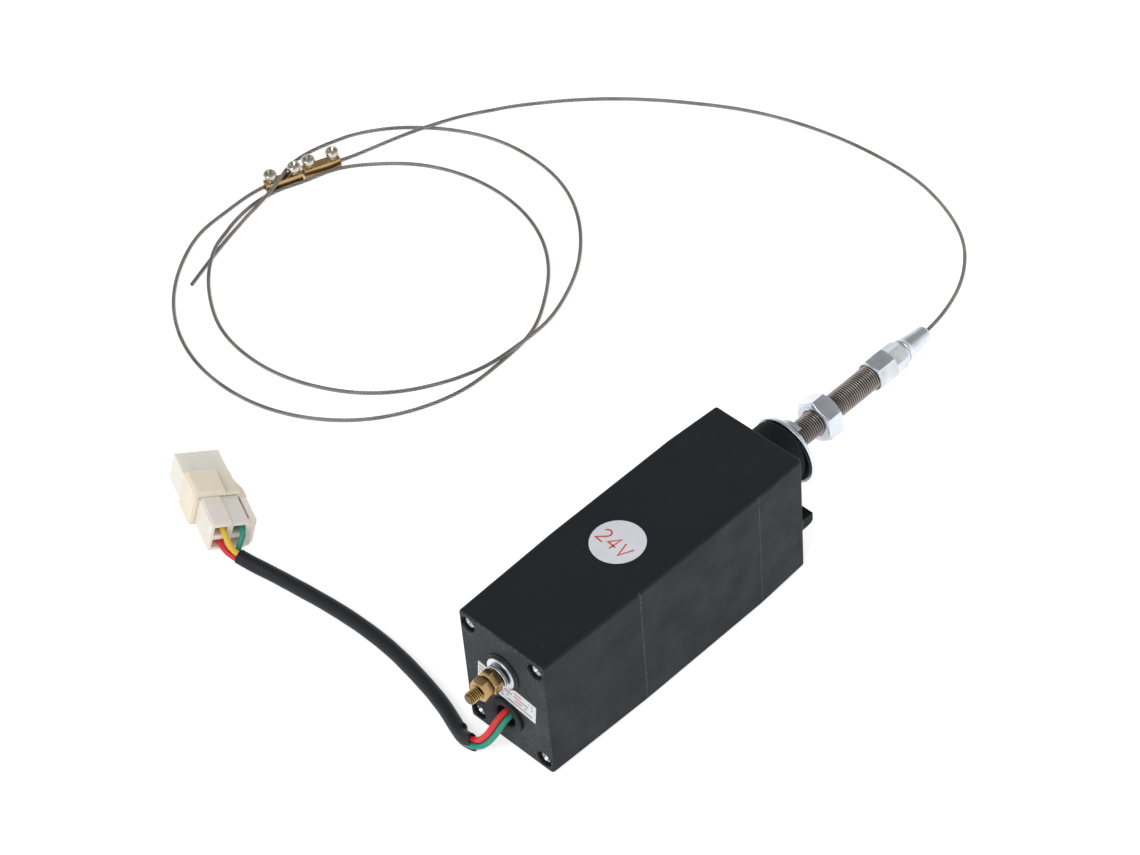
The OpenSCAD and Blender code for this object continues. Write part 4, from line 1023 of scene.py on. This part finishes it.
@cache
def thread_tree():
    """Threaded tube along X from the origin: rows follow the helix, so the crests stay clean."""
    tree, given, give = geometry_tree("Threaded Tube", {
        "Geometry": "Geometry", "Length": 0.07, "Radius": 0.006, "Pitch": 0.00125,
        "Depth": 0.00076, "Bore": 0.002, "Start Chamfer": 0.0008, "End Chamfer": 0.0008,
        "Around": 64})
    per_turn = 8
    reach, pitch, outer = given["Length"], given["Pitch"], given["Radius"]
    rows = (calc("CEIL", reach / pitch) + 2.0) * per_turn + 4.0
    grid = put(tree, "GeometryNodeMeshGrid", {
        "Size X": rows - 1.0, "Size Y": 1.0, "Vertices X": rows,
        "Vertices Y": given["Around"] + 1.0})
    parts = put(tree, "ShaderNodeSeparateXYZ", {0: put(tree, "GeometryNodeInputPosition")})
    i = calc("ROUND", Value(parts) + (rows - 1.0) * 0.5)
    v = Value(parts.outputs[1]) + 0.5
    turn = (i - 2.0) / per_turn
    x = turn * pitch - pitch + v * pitch
    x = calc("MINIMUM", calc("MAXIMUM", x, 0.0), reach)
    phase = calc("FRACT", turn + 1e-4)
    high = spread(calc("ABSOLUTE", phase * 2.0 - 1.0), 0.25, 0.88)
    start = outer - given["Start Chamfer"] + x
    end = outer - given["End Chamfer"] + (reach - x)
    r = calc("MINIMUM", outer - given["Depth"] * (1.0 - high), calc("MINIMUM", start, end))
    # rows 0, 1 and the last one close the bore
    second = calc("COMPARE", i, 1.0, 0.1)
    far = calc("MAXIMUM", i < 0.5, calc("COMPARE", i, rows - 1.0, 0.1))
    r = choose(calc("MAXIMUM", far, second), r, given["Bore"])
    x = choose(second, choose(far, x, reach), 0.0)
    angle = v * (2 * math.pi)
    place = put(tree, "ShaderNodeCombineXYZ", {
        0: x, 1: r * calc("COSINE", angle), 2: r * calc("SINE", angle)})
    shaped = put(tree, "GeometryNodeSetPosition", {"Geometry": grid, "Position": place})
    merged = put(tree, "GeometryNodeMergeByDistance", {"Geometry": shaped, "Distance": 2e-6})
    return finish_tree(tree, merged, given, give)


@cache
def spring_tree():
    """Round-wire coil spring along X from the origin."""
    tree, given, give = geometry_tree("Coil Spring", {
        "Geometry": "Geometry", "Length": 0.04, "Radius": 0.0097, "Turns": 7.5,
        "Wire Radius": 0.0006})
    coil = put(tree, "GeometryNodeCurveSpiral", {
        "Resolution": 40, "Rotations": given["Turns"], "Start Radius": given["Radius"],
        "End Radius": given["Radius"], "Height": given["Length"]})
    laid = put(tree, "GeometryNodeTransform", {"Geometry": coil, "Rotation": (0, math.pi / 2, 0)})
    return sweep(tree, laid, circle(tree, 12, given["Wire Radius"]), given, give)


@cache
def scatter_tree():
    """A screw at each point, turned by the point's own rotation."""
    tree, given, give = geometry_tree("Screws On Points", {"Points": "Geometry", "Screw": "Object"})
    screw = put(tree, "GeometryNodeObjectInfo", {"Object": given["Screw"]})
    turn = put(tree, "GeometryNodeInputNamedAttribute", {"Name": "turn"},
               data_type="FLOAT_VECTOR")
    placed = put(tree, "GeometryNodeInstanceOnPoints", {
        "Points": given["Points"], "Instance": Value(screw.outputs["Geometry"]),
        "Rotation": turn})
    return finish_tree(tree, placed, given, give)


def threaded_rod(name, x, z, finish, **values):
    """Threaded tube from x, in millimetres, along +X at height z."""
    obj = run_tree(loose_points(name), thread_tree(), finish, **values)
    obj.data.transform(Matrix.Translation((x * MM, 0, z * MM)))
    outward(obj.data)
    smooth_by_angle(obj.data, 28)
    return obj


# ---------------------------------------------------------------- operators

class SOLENOID_OT_stage(bpy.types.Operator):
    """Camera, pale floor, soft lamps and surroundings"""

    bl_idname = "solenoid.stage"
    bl_label = "Stage"

    def execute(self, context):
        s = context.scene.solenoid_stage
        self.camera()
        self.floor(s)
        self.lamps(s)
        self.surroundings(s)
        context.scene.view_settings.view_transform = "Standard"
        return {"FINISHED"}

    def camera(self):
        azimuth, drop, roll = 0.845830161, 0.796338777, -0.093105373
        forward = Vector((math.cos(azimuth) * math.cos(drop),
                          math.sin(azimuth) * math.cos(drop), -math.sin(drop)))
        right = Vector((math.sin(azimuth), -math.cos(azimuth), 0))
        up = right.cross(forward)
        across = right * math.cos(roll) + up * math.sin(roll)
        upright = up * math.cos(roll) - right * math.sin(roll)
        data = bpy.data.cameras.new("camera")
        data.lens = 109.34
        data.sensor_width = 36
        data.clip_start, data.clip_end = 0.05, 20
        camera = add_object("camera", data)
        turn = Matrix((across, upright, -forward)).transposed().to_4x4()
        camera.matrix_world = Matrix.Translation((-0.68245, -0.73663, 1.16383)) @ turn
        bpy.context.scene.camera = camera

    def floor(self, s):
        mesh = bpy.data.meshes.new("floor")
        r = 6.0
        mesh.from_pydata([(-r, -r, 0), (r, -r, 0), (r, r, 0), (-r, r, 0)], [], [(0, 1, 2, 3)])
        floor = add_object("floor", mesh)
        f = Finish("floor_paint", s.floor, roughness=0.9, specular_ior_level=0.0)
        rays = put(f.tree, "ShaderNodeLightPath").outputs
        camera, glossy, through = (Value(rays[f"Is {kind} Ray"])
                                   for kind in ("Camera", "Glossy", "Transmission"))
        seen = calc("MAXIMUM", camera, calc("MAXIMUM", glossy, through))
        f.set("Emission Color", (1, 1, 1, 1))
        f.set("Emission Strength", seen * s.glow)
        mesh.materials.append(f.material)

    def lamps(self, s):
        for name, strength, size, place in (
                ("key", s.key, 40, (-0.9, -0.15, 0.9)), ("fill", s.fill, 60, (0.2, -1.0, 0.8))):
            data = bpy.data.lights.new(name, "SUN")
            data.energy = strength
            data.angle = math.radians(size)
            lamp = add_object(name, data)
            lamp.rotation_euler = Vector(place).to_track_quat("Z", "Y").to_euler()

    def surroundings(self, s):
        world = bpy.data.worlds.new("surroundings")
        world.use_nodes = True
        bpy.context.scene.world = world
        tree = world.node_tree
        place = put(tree, "ShaderNodeTexCoord").outputs["Generated"]
        up = put(tree, "ShaderNodeSeparateXYZ", {0: Value(place)}).outputs[2]
        share = spread(Value(up), 0.30, 0.62, interpolation_type="SMOOTHSTEP")
        background = tree.nodes["Background"]
        tree.links.new(blend(share, (s.horizon,) * 3, (s.overhead,) * 3).socket,
                       background.inputs[0])
        background.inputs[1].default_value = 1.0


class SOLENOID_OT_rope(bpy.types.Operator):
    """Free steel rope of twisted strands"""

    bl_idname = "solenoid.rope"
    bl_label = "Rope"

    def execute(self, context):
        s = context.scene.solenoid_cords
        path = spline_through(ROPE_ROUTE, 0.95)
        path[:, 2] = np.maximum(path[:, 2], s.rope_diameter / MM / 2)
        path *= MM
        rope = run_tree(line_object("rope", path), rope_tree(), "rope_steel",
                        radius=s.rope_diameter / 2, strands=s.strands, lay=s.rope_lay)
        finish_piece(rope, "outer_cable")
        return {"FINISHED"}


class SOLENOID_OT_lead(bpy.types.Operator):
    """Three wires and the sleeve over them"""

    bl_idname = "solenoid.lead"
    bl_label = "Lead"

    # angles round the lead's middle line at the housing and at the connector, and the chamber
    wires = {"red": (24, -72, (1, 0)), "green": (264, 168, (0, 1)), "yellow": (144, 48, (1, 1))}

    def execute(self, context):
        s = context.scene.solenoid_cords
        centre = spline_through(LEAD_ROUTE, 1.0)
        directions, sides, other = carried_sides(centre)
        along = np.linspace(0, 1, len(centre))
        mouth = np.linalg.norm(centre - np.array(LEAD_ROUTE[SLEEVE_FIRST]), axis=1).argmin()
        turn = np.clip((along - along[mouth]) / (1 - along[mouth]), 0, 1)
        turn = turn * turn * (3 - 2 * turn)
        axis = np.array(PLUG_TURN @ Vector((1, 0, 0)))
        # up to the sleeve the wires twist so that the yellow one stays behind the others
        shown = np.array((-0.464, -0.524, 0.715))
        facing = np.degrees(np.unwrap(np.arctan2((other * shown).sum(axis=1),
                                                 (sides * shown).sum(axis=1))))
        facing = facing[np.minimum(np.arange(len(centre)), mouth)] - facing[0]
        for name, (rear, front, place) in self.wires.items():
            first = rear + facing
            angle = np.radians(first + (front - first) * turn)[:, None]
            distance = s.rear_distance + (s.front_distance - s.rear_distance) * turn[:, None]
            route = centre + distance / MM * (np.cos(angle) * sides + np.sin(angle) * other)
            across = (place[0] - 0.5) * CHAMBER_PITCH[0] + WIRE_LEAN
            rise = PLUG_HEIGHT / 2 + (place[1] - 0.5) * CHAMBER_PITCH[1]
            entry = np.array(PLUG_PLACE + PLUG_TURN @ Vector((-1, across, rise)))
            bend = self.bend(route[-1], directions[-1], entry, axis)
            path = np.vstack([route, bend, entry + axis * np.array([[2.0], [4.0], [6.0]])]) * MM
            wire = run_tree(line_object("wire_" + name + "_lead", path), tube_tree(),
                            name + "_insulation", radius=s.wire_diameter / 2, sides=20)
            finish_piece(wire, "wire_" + name)
        self.sleeve(s, centre[mouth:])
        return {"FINISHED"}

    def bend(self, start, start_way, end, end_way):
        """Smooth curve between two points, without the first one."""
        reach = np.linalg.norm(end - start) * 0.42
        t = np.linspace(0, 1, 16)[1:, None]
        a, b = start + start_way * reach, end - end_way * reach
        return start * (1 - t) ** 3 + a * 3 * t * (1 - t) ** 2 \
            + b * 3 * t * t * (1 - t) + end * t ** 3

    def sleeve(self, s, centre):
        """Hollow sleeve, slightly uneven and pressed flat at its mouth."""
        directions, sides, other = carried_sides(centre)
        outer = s.sleeve_diameter / MM / 2
        wall = s.sleeve_wall / MM
        segments = 40

        def ring(i, r, shift=0.0):
            """Round, but pressed flat at the mouth, with a fold just behind it."""
            mouth = math.exp(-(i / 5.5) ** 2)
            fold = (0.6 * math.exp(-((i - 10.5) / 1.2) ** 2)
                    - 0.7 * math.exp(-((i - 7.5) / 1.7) ** 2))
            points = []
            for k in range(segments):
                a = 2 * math.pi * k / segments
                here = r + fold * max(0.0, math.cos(a - math.radians(68))) ** 3
                points.append(tuple(
                    centre[i] + directions[i] * shift
                    + here * (1 + 0.40 * mouth) * math.cos(a) * sides[i]
                    + here * (1 - 0.22 * mouth) * math.sin(a) * other[i]))
            return points

        last = len(centre) - 1
        wave = [0.04 * math.sin(i * 0.37) * math.sin(i * 0.11 + 1) for i in range(last + 1)]
        rings = [ring(0, outer - wall, 0), ring(0, outer - wall * 0.4, -0.12)]
        rings += [ring(i, outer - 0.05 + wave[i]) for i in range(last + 1)]
        rings += [ring(last, outer - wall * 0.4, 0.12), ring(last, outer - wall, 0)]
        rings += [ring(i, outer - wall) for i in range(last - 1, 0, -1)]
        points, faces = loft(rings, closed=True)
        points = [Vector((p[0], p[1], max(p[2], 0.02))) for p in points]
        sleeve = add_piece("sleeve", (points, faces), "sleeve_plastic", "wire_sleeve", degrees=60)


class SOLENOID_OT_housing(bpy.types.Operator):
    """Moulded housing and rear cover, with a fine seam between them"""

    bl_idname = "solenoid.housing"
    bl_label = "Housing"

    def execute(self, context):
        s = context.scene.solenoid_hardware
        low, high = span("rear_cover")

        def across(x, a, b):
            return abs(a.x - x) < 0.01 and abs(b.x - x) < 0.01

        def outer_seam(a, b):
            return across(high.x, a, b) and self.outside(a) and self.outside(b)

        from_node("cover", "rear_cover", "cover_plastic", s.seam, 2,
                  lambda a, b: outer_seam(a, b) or across(low.x, a, b))
        from_node("housing_shell", "housing_body", "housing_plastic", s.seam, 2, outer_seam,
                  sharp_x=NOSE_X)
        return {"FINISHED"}

    @staticmethod
    def outside(p):
        """Whether a point of the seam lies on the outline, not on the step inside it."""
        high = span("rear_cover")[1]
        return (abs(p.y) > high.y - 3.2 or p.z < 3.2 or p.z > high.z - 3.2) and not (
            abs(p.y) < high.y - 0.9 and 0.9 < p.z < high.z - 0.9
            and not (abs(p.y) > high.y - 1.6 and (p.z < 1.6 or p.z > high.z - 1.6)))


class SOLENOID_OT_screws(bpy.types.Operator):
    """Cross-recessed pan-head screws in the cover and on the clamp bars"""

    bl_idname = "solenoid.screws"
    bl_label = "Screws"

    def pan_head(self, name, head, height, finish):
        """Screw head from z = -height to 0, with a cross recess; sizes in millimetres."""
        r = head / 2
        outline = [(0.0, AXIS_R), (-height, AXIS_R)]
        for k in range(9):
            a = math.pi / 2 * k / 8
            outline.append((-height + height * 0.45 * (1 - math.cos(a)),
                            r - height * 0.5 + height * 0.5 * math.sin(a)))
        outline += [(-0.12, r), (0.0, r - 0.12)]
        points, faces = turned(outline, 0.0, segments=64)
        body = solid(name, [(p[1], p[2], p[0]) for p in points], faces, finish)
        outward(body.data, weld=3e-6)
        reach, width = head * 0.29, head * 0.085
        top = [(reach, width), (-reach, width), (-reach, -width), (reach, -width)]
        points, faces = loft([[(x * wide, y * deep, -height * rise - above) for x, y in top]
                              for wide, deep, rise, above in (
                                  (1.15, 1.1, 1, 0.5), (1, 1, 0.98, 0), (0.45, 0.75, 0.42, 0))])
        cutters = []
        for k in range(2):
            turn = Matrix.Rotation(math.pi / 2 * k, 3, "Z")
            cutter = solid(f"{name}_cut{k}", [turn @ Vector(p) for p in points], faces, finish)
            outward(cutter.data)
            cutters.append(cutter)
        subtract(body, cutters)
        m = body.modifiers.new("bevel", "BEVEL")
        m.width = head * 0.012 * MM
        m.segments = 2
        m.limit_method = "ANGLE"
        m.angle_limit = math.radians(40)
        settle(body)
        smooth_by_angle(body.data)
        soft_normals(body)
        return settle(body)

    def scatter(self, name, screw, shank, places, turns, finish, node):
        """Sets of head and shank at the places, in millimetres, turned by Euler angles."""
        shank.data.transform(Matrix.Rotation(math.radians(-90), 4, "Y"))
        absorb(screw, shank)
        obj = loose_points(name, [Vector(p) * MM for p in places])
        attribute = obj.data.attributes.new("turn", "FLOAT_VECTOR", "POINT")
        attribute.data.foreach_set("vector", [v for t in turns for v in t])
        run_tree(obj, scatter_tree(), finish, screw=screw)
        if "turn" in obj.data.attributes:
            obj.data.attributes.remove(obj.data.attributes["turn"])
        bpy.data.objects.remove(screw)
        finish_piece(obj, node)

    def execute(self, context):
        s = context.scene.solenoid_hardware
        low, high = span("cover_screws")
        head, height = 7.2, 2.8
        screw = self.pan_head("cover_screw", head, height, "screw_plate")
        end = high.x - low.x - height
        shank = solid("cover_shank", *turned(
            [(AXIS_R, AXIS_R), (AXIS_R, 1.99), (end - 0.5, 1.99), (end, 1.5), (end, AXIS_R)],
            0.0, segments=32), "screw_plate")
        places = [(low.x + height, y, z) for y in (low.y + head / 2, high.y - head / 2)
                  for z in (low.z + head / 2, high.z - head / 2)]
        facing = Matrix.Rotation(math.radians(90), 3, "Y")
        turns = [(facing @ Matrix.Rotation(math.radians(a), 3, "Z")).to_euler()
                 for a in (20, 62, 35, 78)]
        self.scatter("cover_screw_set", screw, shank, places, turns, "screw_plate",
                     "cover_screws")

        low, high = span("clamp_screws")
        head, height = 7.0, 2.4
        screw = self.pan_head("clamp_screw", head, height, "clamp_screw_metal")
        top = high.z - height
        thread = threaded_rod("clamp_thread", 0, 0, "clamp_screw_metal",
                              length=(top - low.z) * MM, radius=0.0015, pitch=s.clamp_pitch,
                              depth=s.clamp_pitch * s.thread_depth, bore=0.0, around=28,
                              start_chamfer=0.0, end_chamfer=0.0003)
        places, turns = [], []
        for place in CLAMP_PLACES:
            for side in (-1, 1):
                along = Vector((math.cos(CLAMP_TURN), math.sin(CLAMP_TURN), 0)) * 6.5 * side
                places.append(place + along + Vector((0, 0, top)))
                turns.append((math.pi, 0, CLAMP_TURN + math.radians(30 + 25 * side)))
        self.scatter("clamp_screw_set", screw, thread, places, turns, "clamp_screw_metal",
                     "clamp_screws")
        return {"FINISHED"}


class SOLENOID_OT_neck(bpy.types.Operator):
    """Threaded neck with its washers and nut"""

    bl_idname = "solenoid.neck"
    bl_label = "Neck"

    def execute(self, context):
        s = context.scene.solenoid_hardware
        low, high = span("neck_tube")
        start = FRONT_X + 13
        bore, flange, outer = 2.2, 10, 5.95
        thread = threaded_rod("neck", start, NECK_Z, "neck_plating",
                              length=(high.x - start) * MM, radius=0.006, pitch=s.neck_pitch,
                              depth=s.neck_pitch * s.thread_depth, bore=bore * MM, around=72,
                              start_chamfer=0.0, end_chamfer=0.0009)
        shank = solid("neck_shank", *turned(rounded([
            (low.x, bore, 0), (low.x, flange, 0.3), (low.x + 3.5, flange, 0.3),
            (low.x + 3.5, outer, 0), (start + 0.01, outer, 0), (start + 0.01, bore, 0)]),
            NECK_Z), "neck_plating")
        absorb(thread, shank)
        outward(thread.data)
        finish_piece(thread, "neck_tube")

        # the rubber washer and the flat one are wide in the bore and hang on the neck
        for name, node, bore, outer, finish in (
                ("rubber_washer", "neck_seal", 9.37, 14, "seal_rubber"),
                ("flat_washer", "neck_washer", 8.86, 17.1, "washer_zinc")):
            low, high = span(node)
            centre = (low + high) / 2
            add_piece(name, turned(rounded([
                (low.x, bore, 0.1), (low.x, outer, 0.35), (high.x, outer, 0.5),
                (high.x, bore, 0.2)]), centre.z, centre.y, segments=128), finish, node)
        low, high = span("neck_lock_washer")
        add_piece("split_washer", split_washer(6.15, 10.4, low.x, 2.6, 2.8, 120, NECK_Z),
                  "zinc_plate", "neck_lock_washer")
        low, high = span("neck_nut")
        add_piece("neck_hexagon", nut(low.x, high.x, 19.8, 6.1, 23, NECK_Z, 0.7, 0.16, 0.5),
                  "nut_zinc", "neck_nut")
        return {"FINISHED"}


class SOLENOID_OT_fitting(bpy.types.Operator):
    """Cable end fitting with two hexagon stretches and a tapered nozzle"""

    bl_idname = "solenoid.fitting"
    bl_label = "End Fitting"

    # the groove between hexagon and nozzle, as (distance from the hexagon's end, radius)
    groove = ((0, 5.75), (0.06, 5.8), (0.7, 5.8), (0.8, 5.72), (0.82, 5.3), (1.6, 5.3),
              (1.68, 5.7), (1.8, 5.8), (2.5, 5.8), (2.62, 5.74), (3.2, 5.4))

    def execute(self, context):
        low, high = span("end_fitting")
        x, tip = low.x, high.x
        step, root = x + 12, x + 20.5
        wide, narrow, edge, soft_edge = 14.2, 12, 0.35, 0.3
        corner = math.radians(6)
        turned_corner = corner + math.pi / 6
        angles = sorted(a % (2 * math.pi) for a in hexagon_angles(wide, corner, edge)
                        + hexagon_angles(narrow, turned_corner, soft_edge))
        rings = hexagon_rings(x, step, wide, corner, NECK_Z, angles, face=0.965, soft=0.08,
                              rounding=edge)
        rings += hexagon_rings(step - 0.2, root, narrow, turned_corner, NECK_Z, angles,
                               face=0.985, soft=0.06, rounding=soft_edge, chamfer_start=False)
        profile = [(root + along, r) for along, r in self.groove]
        neck, taper, mouth, lip = self.groove[-1][0], self.groove[-1][1], 4.1, 1.5
        for k in range(1, 8):
            t = k / 8
            profile.append((root + neck + (tip - lip - root - neck) * t,
                            taper + (mouth - taper) * t))
        for k in range(9):
            a = math.pi / 2 * k / 8
            profile.append((tip - lip + lip * math.sin(a), mouth - lip + lip * math.cos(a)))
        profile += [(tip, 1.7), (tip - 0.35, 1.3), (x + 12.0, 1.3), (x + 11.5, 6.1)]
        inlet = [(x + 0.6, 6.1), (x, 6.65)]
        start, end = ([circle_ring(*p, angles, NECK_Z) for p in part] for part in (inlet, profile))
        add_piece("end_fitting_zinc", loft(start + rings + end, closed=True), "fitting_zinc",
                  "end_fitting")
        return {"FINISHED"}


class SOLENOID_OT_terminal(bpy.types.Operator):
    """Brass stud with insulator, washers and two nuts"""

    bl_idname = "solenoid.terminal"
    bl_label = "Terminal"

    def execute(self, context):
        s = context.scene.solenoid_hardware
        low, high = span("terminal_stud")
        start = REAR_X - 1
        head = high.x - 4
        stud = threaded_rod("stud", low.x, STUD_Z, "stud_brass", length=(start - low.x) * MM,
                            radius=0.003, pitch=s.stud_pitch,
                            depth=s.stud_pitch * s.thread_depth, bore=0.0, around=56,
                            start_chamfer=0.0008, end_chamfer=0.0)
        shank = solid("stud_shank", *turned([
            (start - 0.01, AXIS_R), (start - 0.01, 2.95), (head, 2.95), (head, 5.5),
            (high.x, 5.5), (high.x, AXIS_R)], STUD_Z, segments=56), "stud_brass")
        outward(shank.data)
        absorb(stud, shank)
        finish_piece(stud, "terminal_stud")

        low, high = span("terminal_insulator")
        add_piece("insulating_ring", turned(rounded([
            (low.x, 3.1, 0.1), (low.x, 9.4, 0.4), (REAR_X, 9.4, 0.1), (REAR_X, 4.3, 0),
            (high.x, 4.3, 0.1), (high.x, 3.1, 0)]), STUD_Z), "insulator_plastic",
            "terminal_insulator")
        low, high = span("terminal_washer")
        add_piece("stud_washer", turned(rounded([
            (low.x, 3.2, 0.15), (low.x, 8, 0.4), (high.x, 8, 0.3), (high.x, 3.2, 0.1)]),
            STUD_Z), "zinc_plate", "terminal_washer")
        low, high = span("terminal_lock_washer")
        add_piece("stud_split_washer", split_washer(3.15, 5.8, low.x, 1.5, 1.1, 40, STUD_Z),
                  "zinc_plate", "terminal_lock_washer")
        low, high = span("terminal_nuts")
        inner, outer = (nut(x, x + 5, 10, 3.1, corner, STUD_Z, 0.45, 0.1, 0.3)
                        for x, corner in ((high.x - 5, 36), (low.x, -5)))
        add_piece("stud_nuts", merge_parts(inner, outer), "nut_brass", "terminal_nuts")
        return {"FINISHED"}


class SOLENOID_OT_grommet(bpy.types.Operator):
    """Rubber grommet round the wires"""

    bl_idname = "solenoid.grommet"
    bl_label = "Grommet"

    def execute(self, context):
        low, high = span("wire_grommet")
        inner_face = REAR_X + COVER_WALL
        add_piece("grommet", turned(rounded([
            (low.x, 5.5, 0.7), (low.x, 9.0, 0.8), (REAR_X, 9.0, 0.1), (REAR_X, 6.9, 0),
            (inner_face, 6.9, 0), (inner_face, 8.4, 0.3), (high.x, 8.4, 0.5),
            (high.x, 5.5, 0.4)], 6), GROMMET_Z), "rubber", "wire_grommet")
        return {"FINISHED"}


class SOLENOID_OT_connector(bpy.types.Operator):
    """Nylon wire housing, its mating half and the crimped contacts"""

    bl_idname = "solenoid.connector"
    bl_label = "Connector"

    def execute(self, context):
        s = context.scene.solenoid_hardware
        from_node("plug_half", "harness_plug", "plug_nylon", s.moulded_edge, 3)
        from_node("mating_half", "mating_housing", "mating_nylon", s.moulded_edge, 3)
        from_node("contacts", "plug_terminals", "contact_tin", s.metal_edge, 2)
        return {"FINISHED"}


class SOLENOID_OT_clamp(bpy.types.Operator):
    """Two drilled brass bars on the rope"""

    bl_idname = "solenoid.clamp"
    bl_label = "Clamp Bars"

    def execute(self, context):
        s = context.scene.solenoid_hardware
        from_node("bar_near_loop", "clamp_bar_inner", "bar_bronze", s.metal_edge, 2)
        from_node("bar_near_end", "clamp_bar_outer", "bar_bronze", s.metal_edge, 2)
        return {"FINISHED"}


class SOLENOID_OT_labels(bpy.types.Operator):
    """Round voltage sticker and the rear label"""

    bl_idname = "solenoid.labels"
    bl_label = "Labels"

    # where each letter starts along the reading direction, in millimetres, and its strokes
    letters = {
        "2": (-9.2, [(0.05, 0.78), (0.10, 0.90), (0.22, 0.98), (0.38, 0.98), (0.52, 0.90),
                     (0.58, 0.76), (0.54, 0.60), (0.40, 0.42), (0.05, 0.02), (0.62, 0.02)]),
        "4": (-3.0, [(0.46, 0.0), (0.46, 0.98), (0.02, 0.30), (0.66, 0.30)]),
        "V": (3.5, [(0.0, 0.98), (0.34, 0.02), (0.68, 0.98)]),
    }

    def execute(self, context):
        low, high = span("voltage_sticker")
        centre = (low + high) / 2
        r, top = (high.x - low.x) / 2, high.z - 0.03
        points, faces = turned(rounded([
            (low.z, AXIS_R, 0), (low.z, r, 0), (top, r, 0.05), (top, AXIS_R, 0)]), 0.0)
        add_piece("round_sticker", ([(centre.x + p[1], centre.y + p[2], p[0]) for p in points],
                                    faces), "sticker_paper", "voltage_sticker")
        self.print_on(centre, high.z)
        from_node("rear_label_stock", "rear_label", "label_print")
        return {"FINISHED"}

    def print_on(self, centre, top):
        """The voltage in thin even strokes."""
        height, width, drop, thick = 7.3, 0.8, 1.5, 0.04
        reading = Vector((-0.10, -1.0, 0)).normalized()
        upward = Vector((1.0, -0.10, 0)).normalized()
        parts = []
        for start, stroke in self.letters.values():
            line = [centre.xy.to_3d() + reading * (start + x * height)
                    + upward * ((y - 0.5) * height - drop) for x, y in stroke]
            parts.append(self.ribbon(line, width, top - thick, top))
        ink = add_piece("sticker_print", merge_parts(*parts), "sticker_ink")

    def ribbon(self, line, width, z0, z1):
        """A flat stroke of even width along a line."""
        rings = []
        for i, p in enumerate(line):
            a = (p - line[i - 1]).normalized() if i else None
            b = (line[i + 1] - p).normalized() if i < len(line) - 1 else None
            d = (a + b).normalized() if a and b else a or b
            n = Vector((-d.y, d.x, 0))
            if a and b:
                n *= min(1 / max(0.35, n.dot(Vector((-b.y, b.x, 0)))), 2)
            left, right = (p + n * width / 2).xy, (p - n * width / 2).xy
            rings.append([(*left, z0), (*left, z1), (*right, z1), (*right, z0)])
        return loft(rings)


class SOLENOID_OT_inside(bpy.types.Operator):
    """Finishes for the solenoid's inner pieces, and its return spring"""

    bl_idname = "solenoid.inside"
    bl_label = "Inner Pieces"

    finishes = {
        "solenoid_frame": "frame_steel", "front_plate": "frame_steel", "fixed_core": "core_steel",
        "bobbin": "bobbin_plastic", "coil_winding": "winding_copper",
        "guide_tube": "guide_brass", "coil_terminals": "terminal_board",
        "terminal_lead": "lead_insulation", "rest_bumper": "bumper_rubber",
        "plunger": "plunger_steel", "plunger_clip": "spring_steel",
        "cable_ferrule": "ferrule_bronze", "cable_retainer": "guide_brass",
        "inner_cable": "rope_plain",
    }

    def execute(self, context):
        for node, finish in self.finishes.items():
            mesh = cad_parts[node].data
            mesh.materials.clear()
            mesh.materials.append(FINISHES[finish])
        low, high = span("return_spring")
        wire = 0.6
        spring = run_tree(loose_points("plunger_spring"), spring_tree(), "spring_steel",
                          length=(high.x - low.x - 2 * wire) * MM, radius=0.0097, turns=7.5,
                          wire_radius=wire * MM)
        spring.data.transform(Matrix.Translation(((low.x + wire) * MM, 0, NECK_Z * MM)))
        outward(spring.data)
        finish_piece(spring, "return_spring")
        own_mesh(spring)
        return {"FINISHED"}


OPERATORS = (
    SOLENOID_OT_stage, SOLENOID_OT_rope, SOLENOID_OT_lead, SOLENOID_OT_housing,
    SOLENOID_OT_screws, SOLENOID_OT_neck, SOLENOID_OT_fitting, SOLENOID_OT_terminal,
    SOLENOID_OT_grommet, SOLENOID_OT_connector, SOLENOID_OT_clamp, SOLENOID_OT_labels,
    SOLENOID_OT_inside,
)


class SOLENOID_PT_panel(bpy.types.Panel):
    """Settings and pieces of the solenoid"""

    bl_label = "Fuel Shutoff Solenoid"
    bl_idname = "SOLENOID_PT_panel"
    bl_space_type = "VIEW_3D"
    bl_region_type = "UI"
    bl_category = "Solenoid"

    def draw(self, context):
        layout = self.layout
        for title in SETTINGS:
            box = layout.box()
            box.label(text=title.capitalize())
            group = getattr(context.scene, "solenoid_" + title)
            for key in SETTINGS[title].__annotations__:
                box.prop(group, key)
        for operator in OPERATORS:
            layout.operator(operator.bl_idname)


SETTINGS = {
    "colours": SOLENOID_PG_colours, "cords": SOLENOID_PG_cords,
    "hardware": SOLENOID_PG_hardware, "stage": SOLENOID_PG_stage,
}
CLASSES = (*SETTINGS.values(), *OPERATORS, SOLENOID_PT_panel)


def register():
    for cls in CLASSES:
        bpy.utils.register_class(cls)
    for title, group in SETTINGS.items():
        setattr(bpy.types.Scene, "solenoid_" + title, bpy.props.PointerProperty(type=group))


def unregister():
    for title in SETTINGS:
        delattr(bpy.types.Scene, "solenoid_" + title)
    for cls in reversed(CLASSES):
        bpy.utils.unregister_class(cls)


def main():
    register()
    make_finishes(bpy.context.scene.solenoid_colours)
    bpy.ops.solenoid.stage()
    bpy.ops.solenoid.rope()
    bpy.ops.solenoid.lead()
    bpy.ops.solenoid.housing()
    bpy.ops.solenoid.screws()
    bpy.ops.solenoid.neck()
    bpy.ops.solenoid.fitting()
    bpy.ops.solenoid.terminal()
    bpy.ops.solenoid.grommet()
    bpy.ops.solenoid.connector()
    bpy.ops.solenoid.clamp()
    bpy.ops.solenoid.labels()
    bpy.ops.solenoid.inside()


if __name__ == "__main__":
    main()
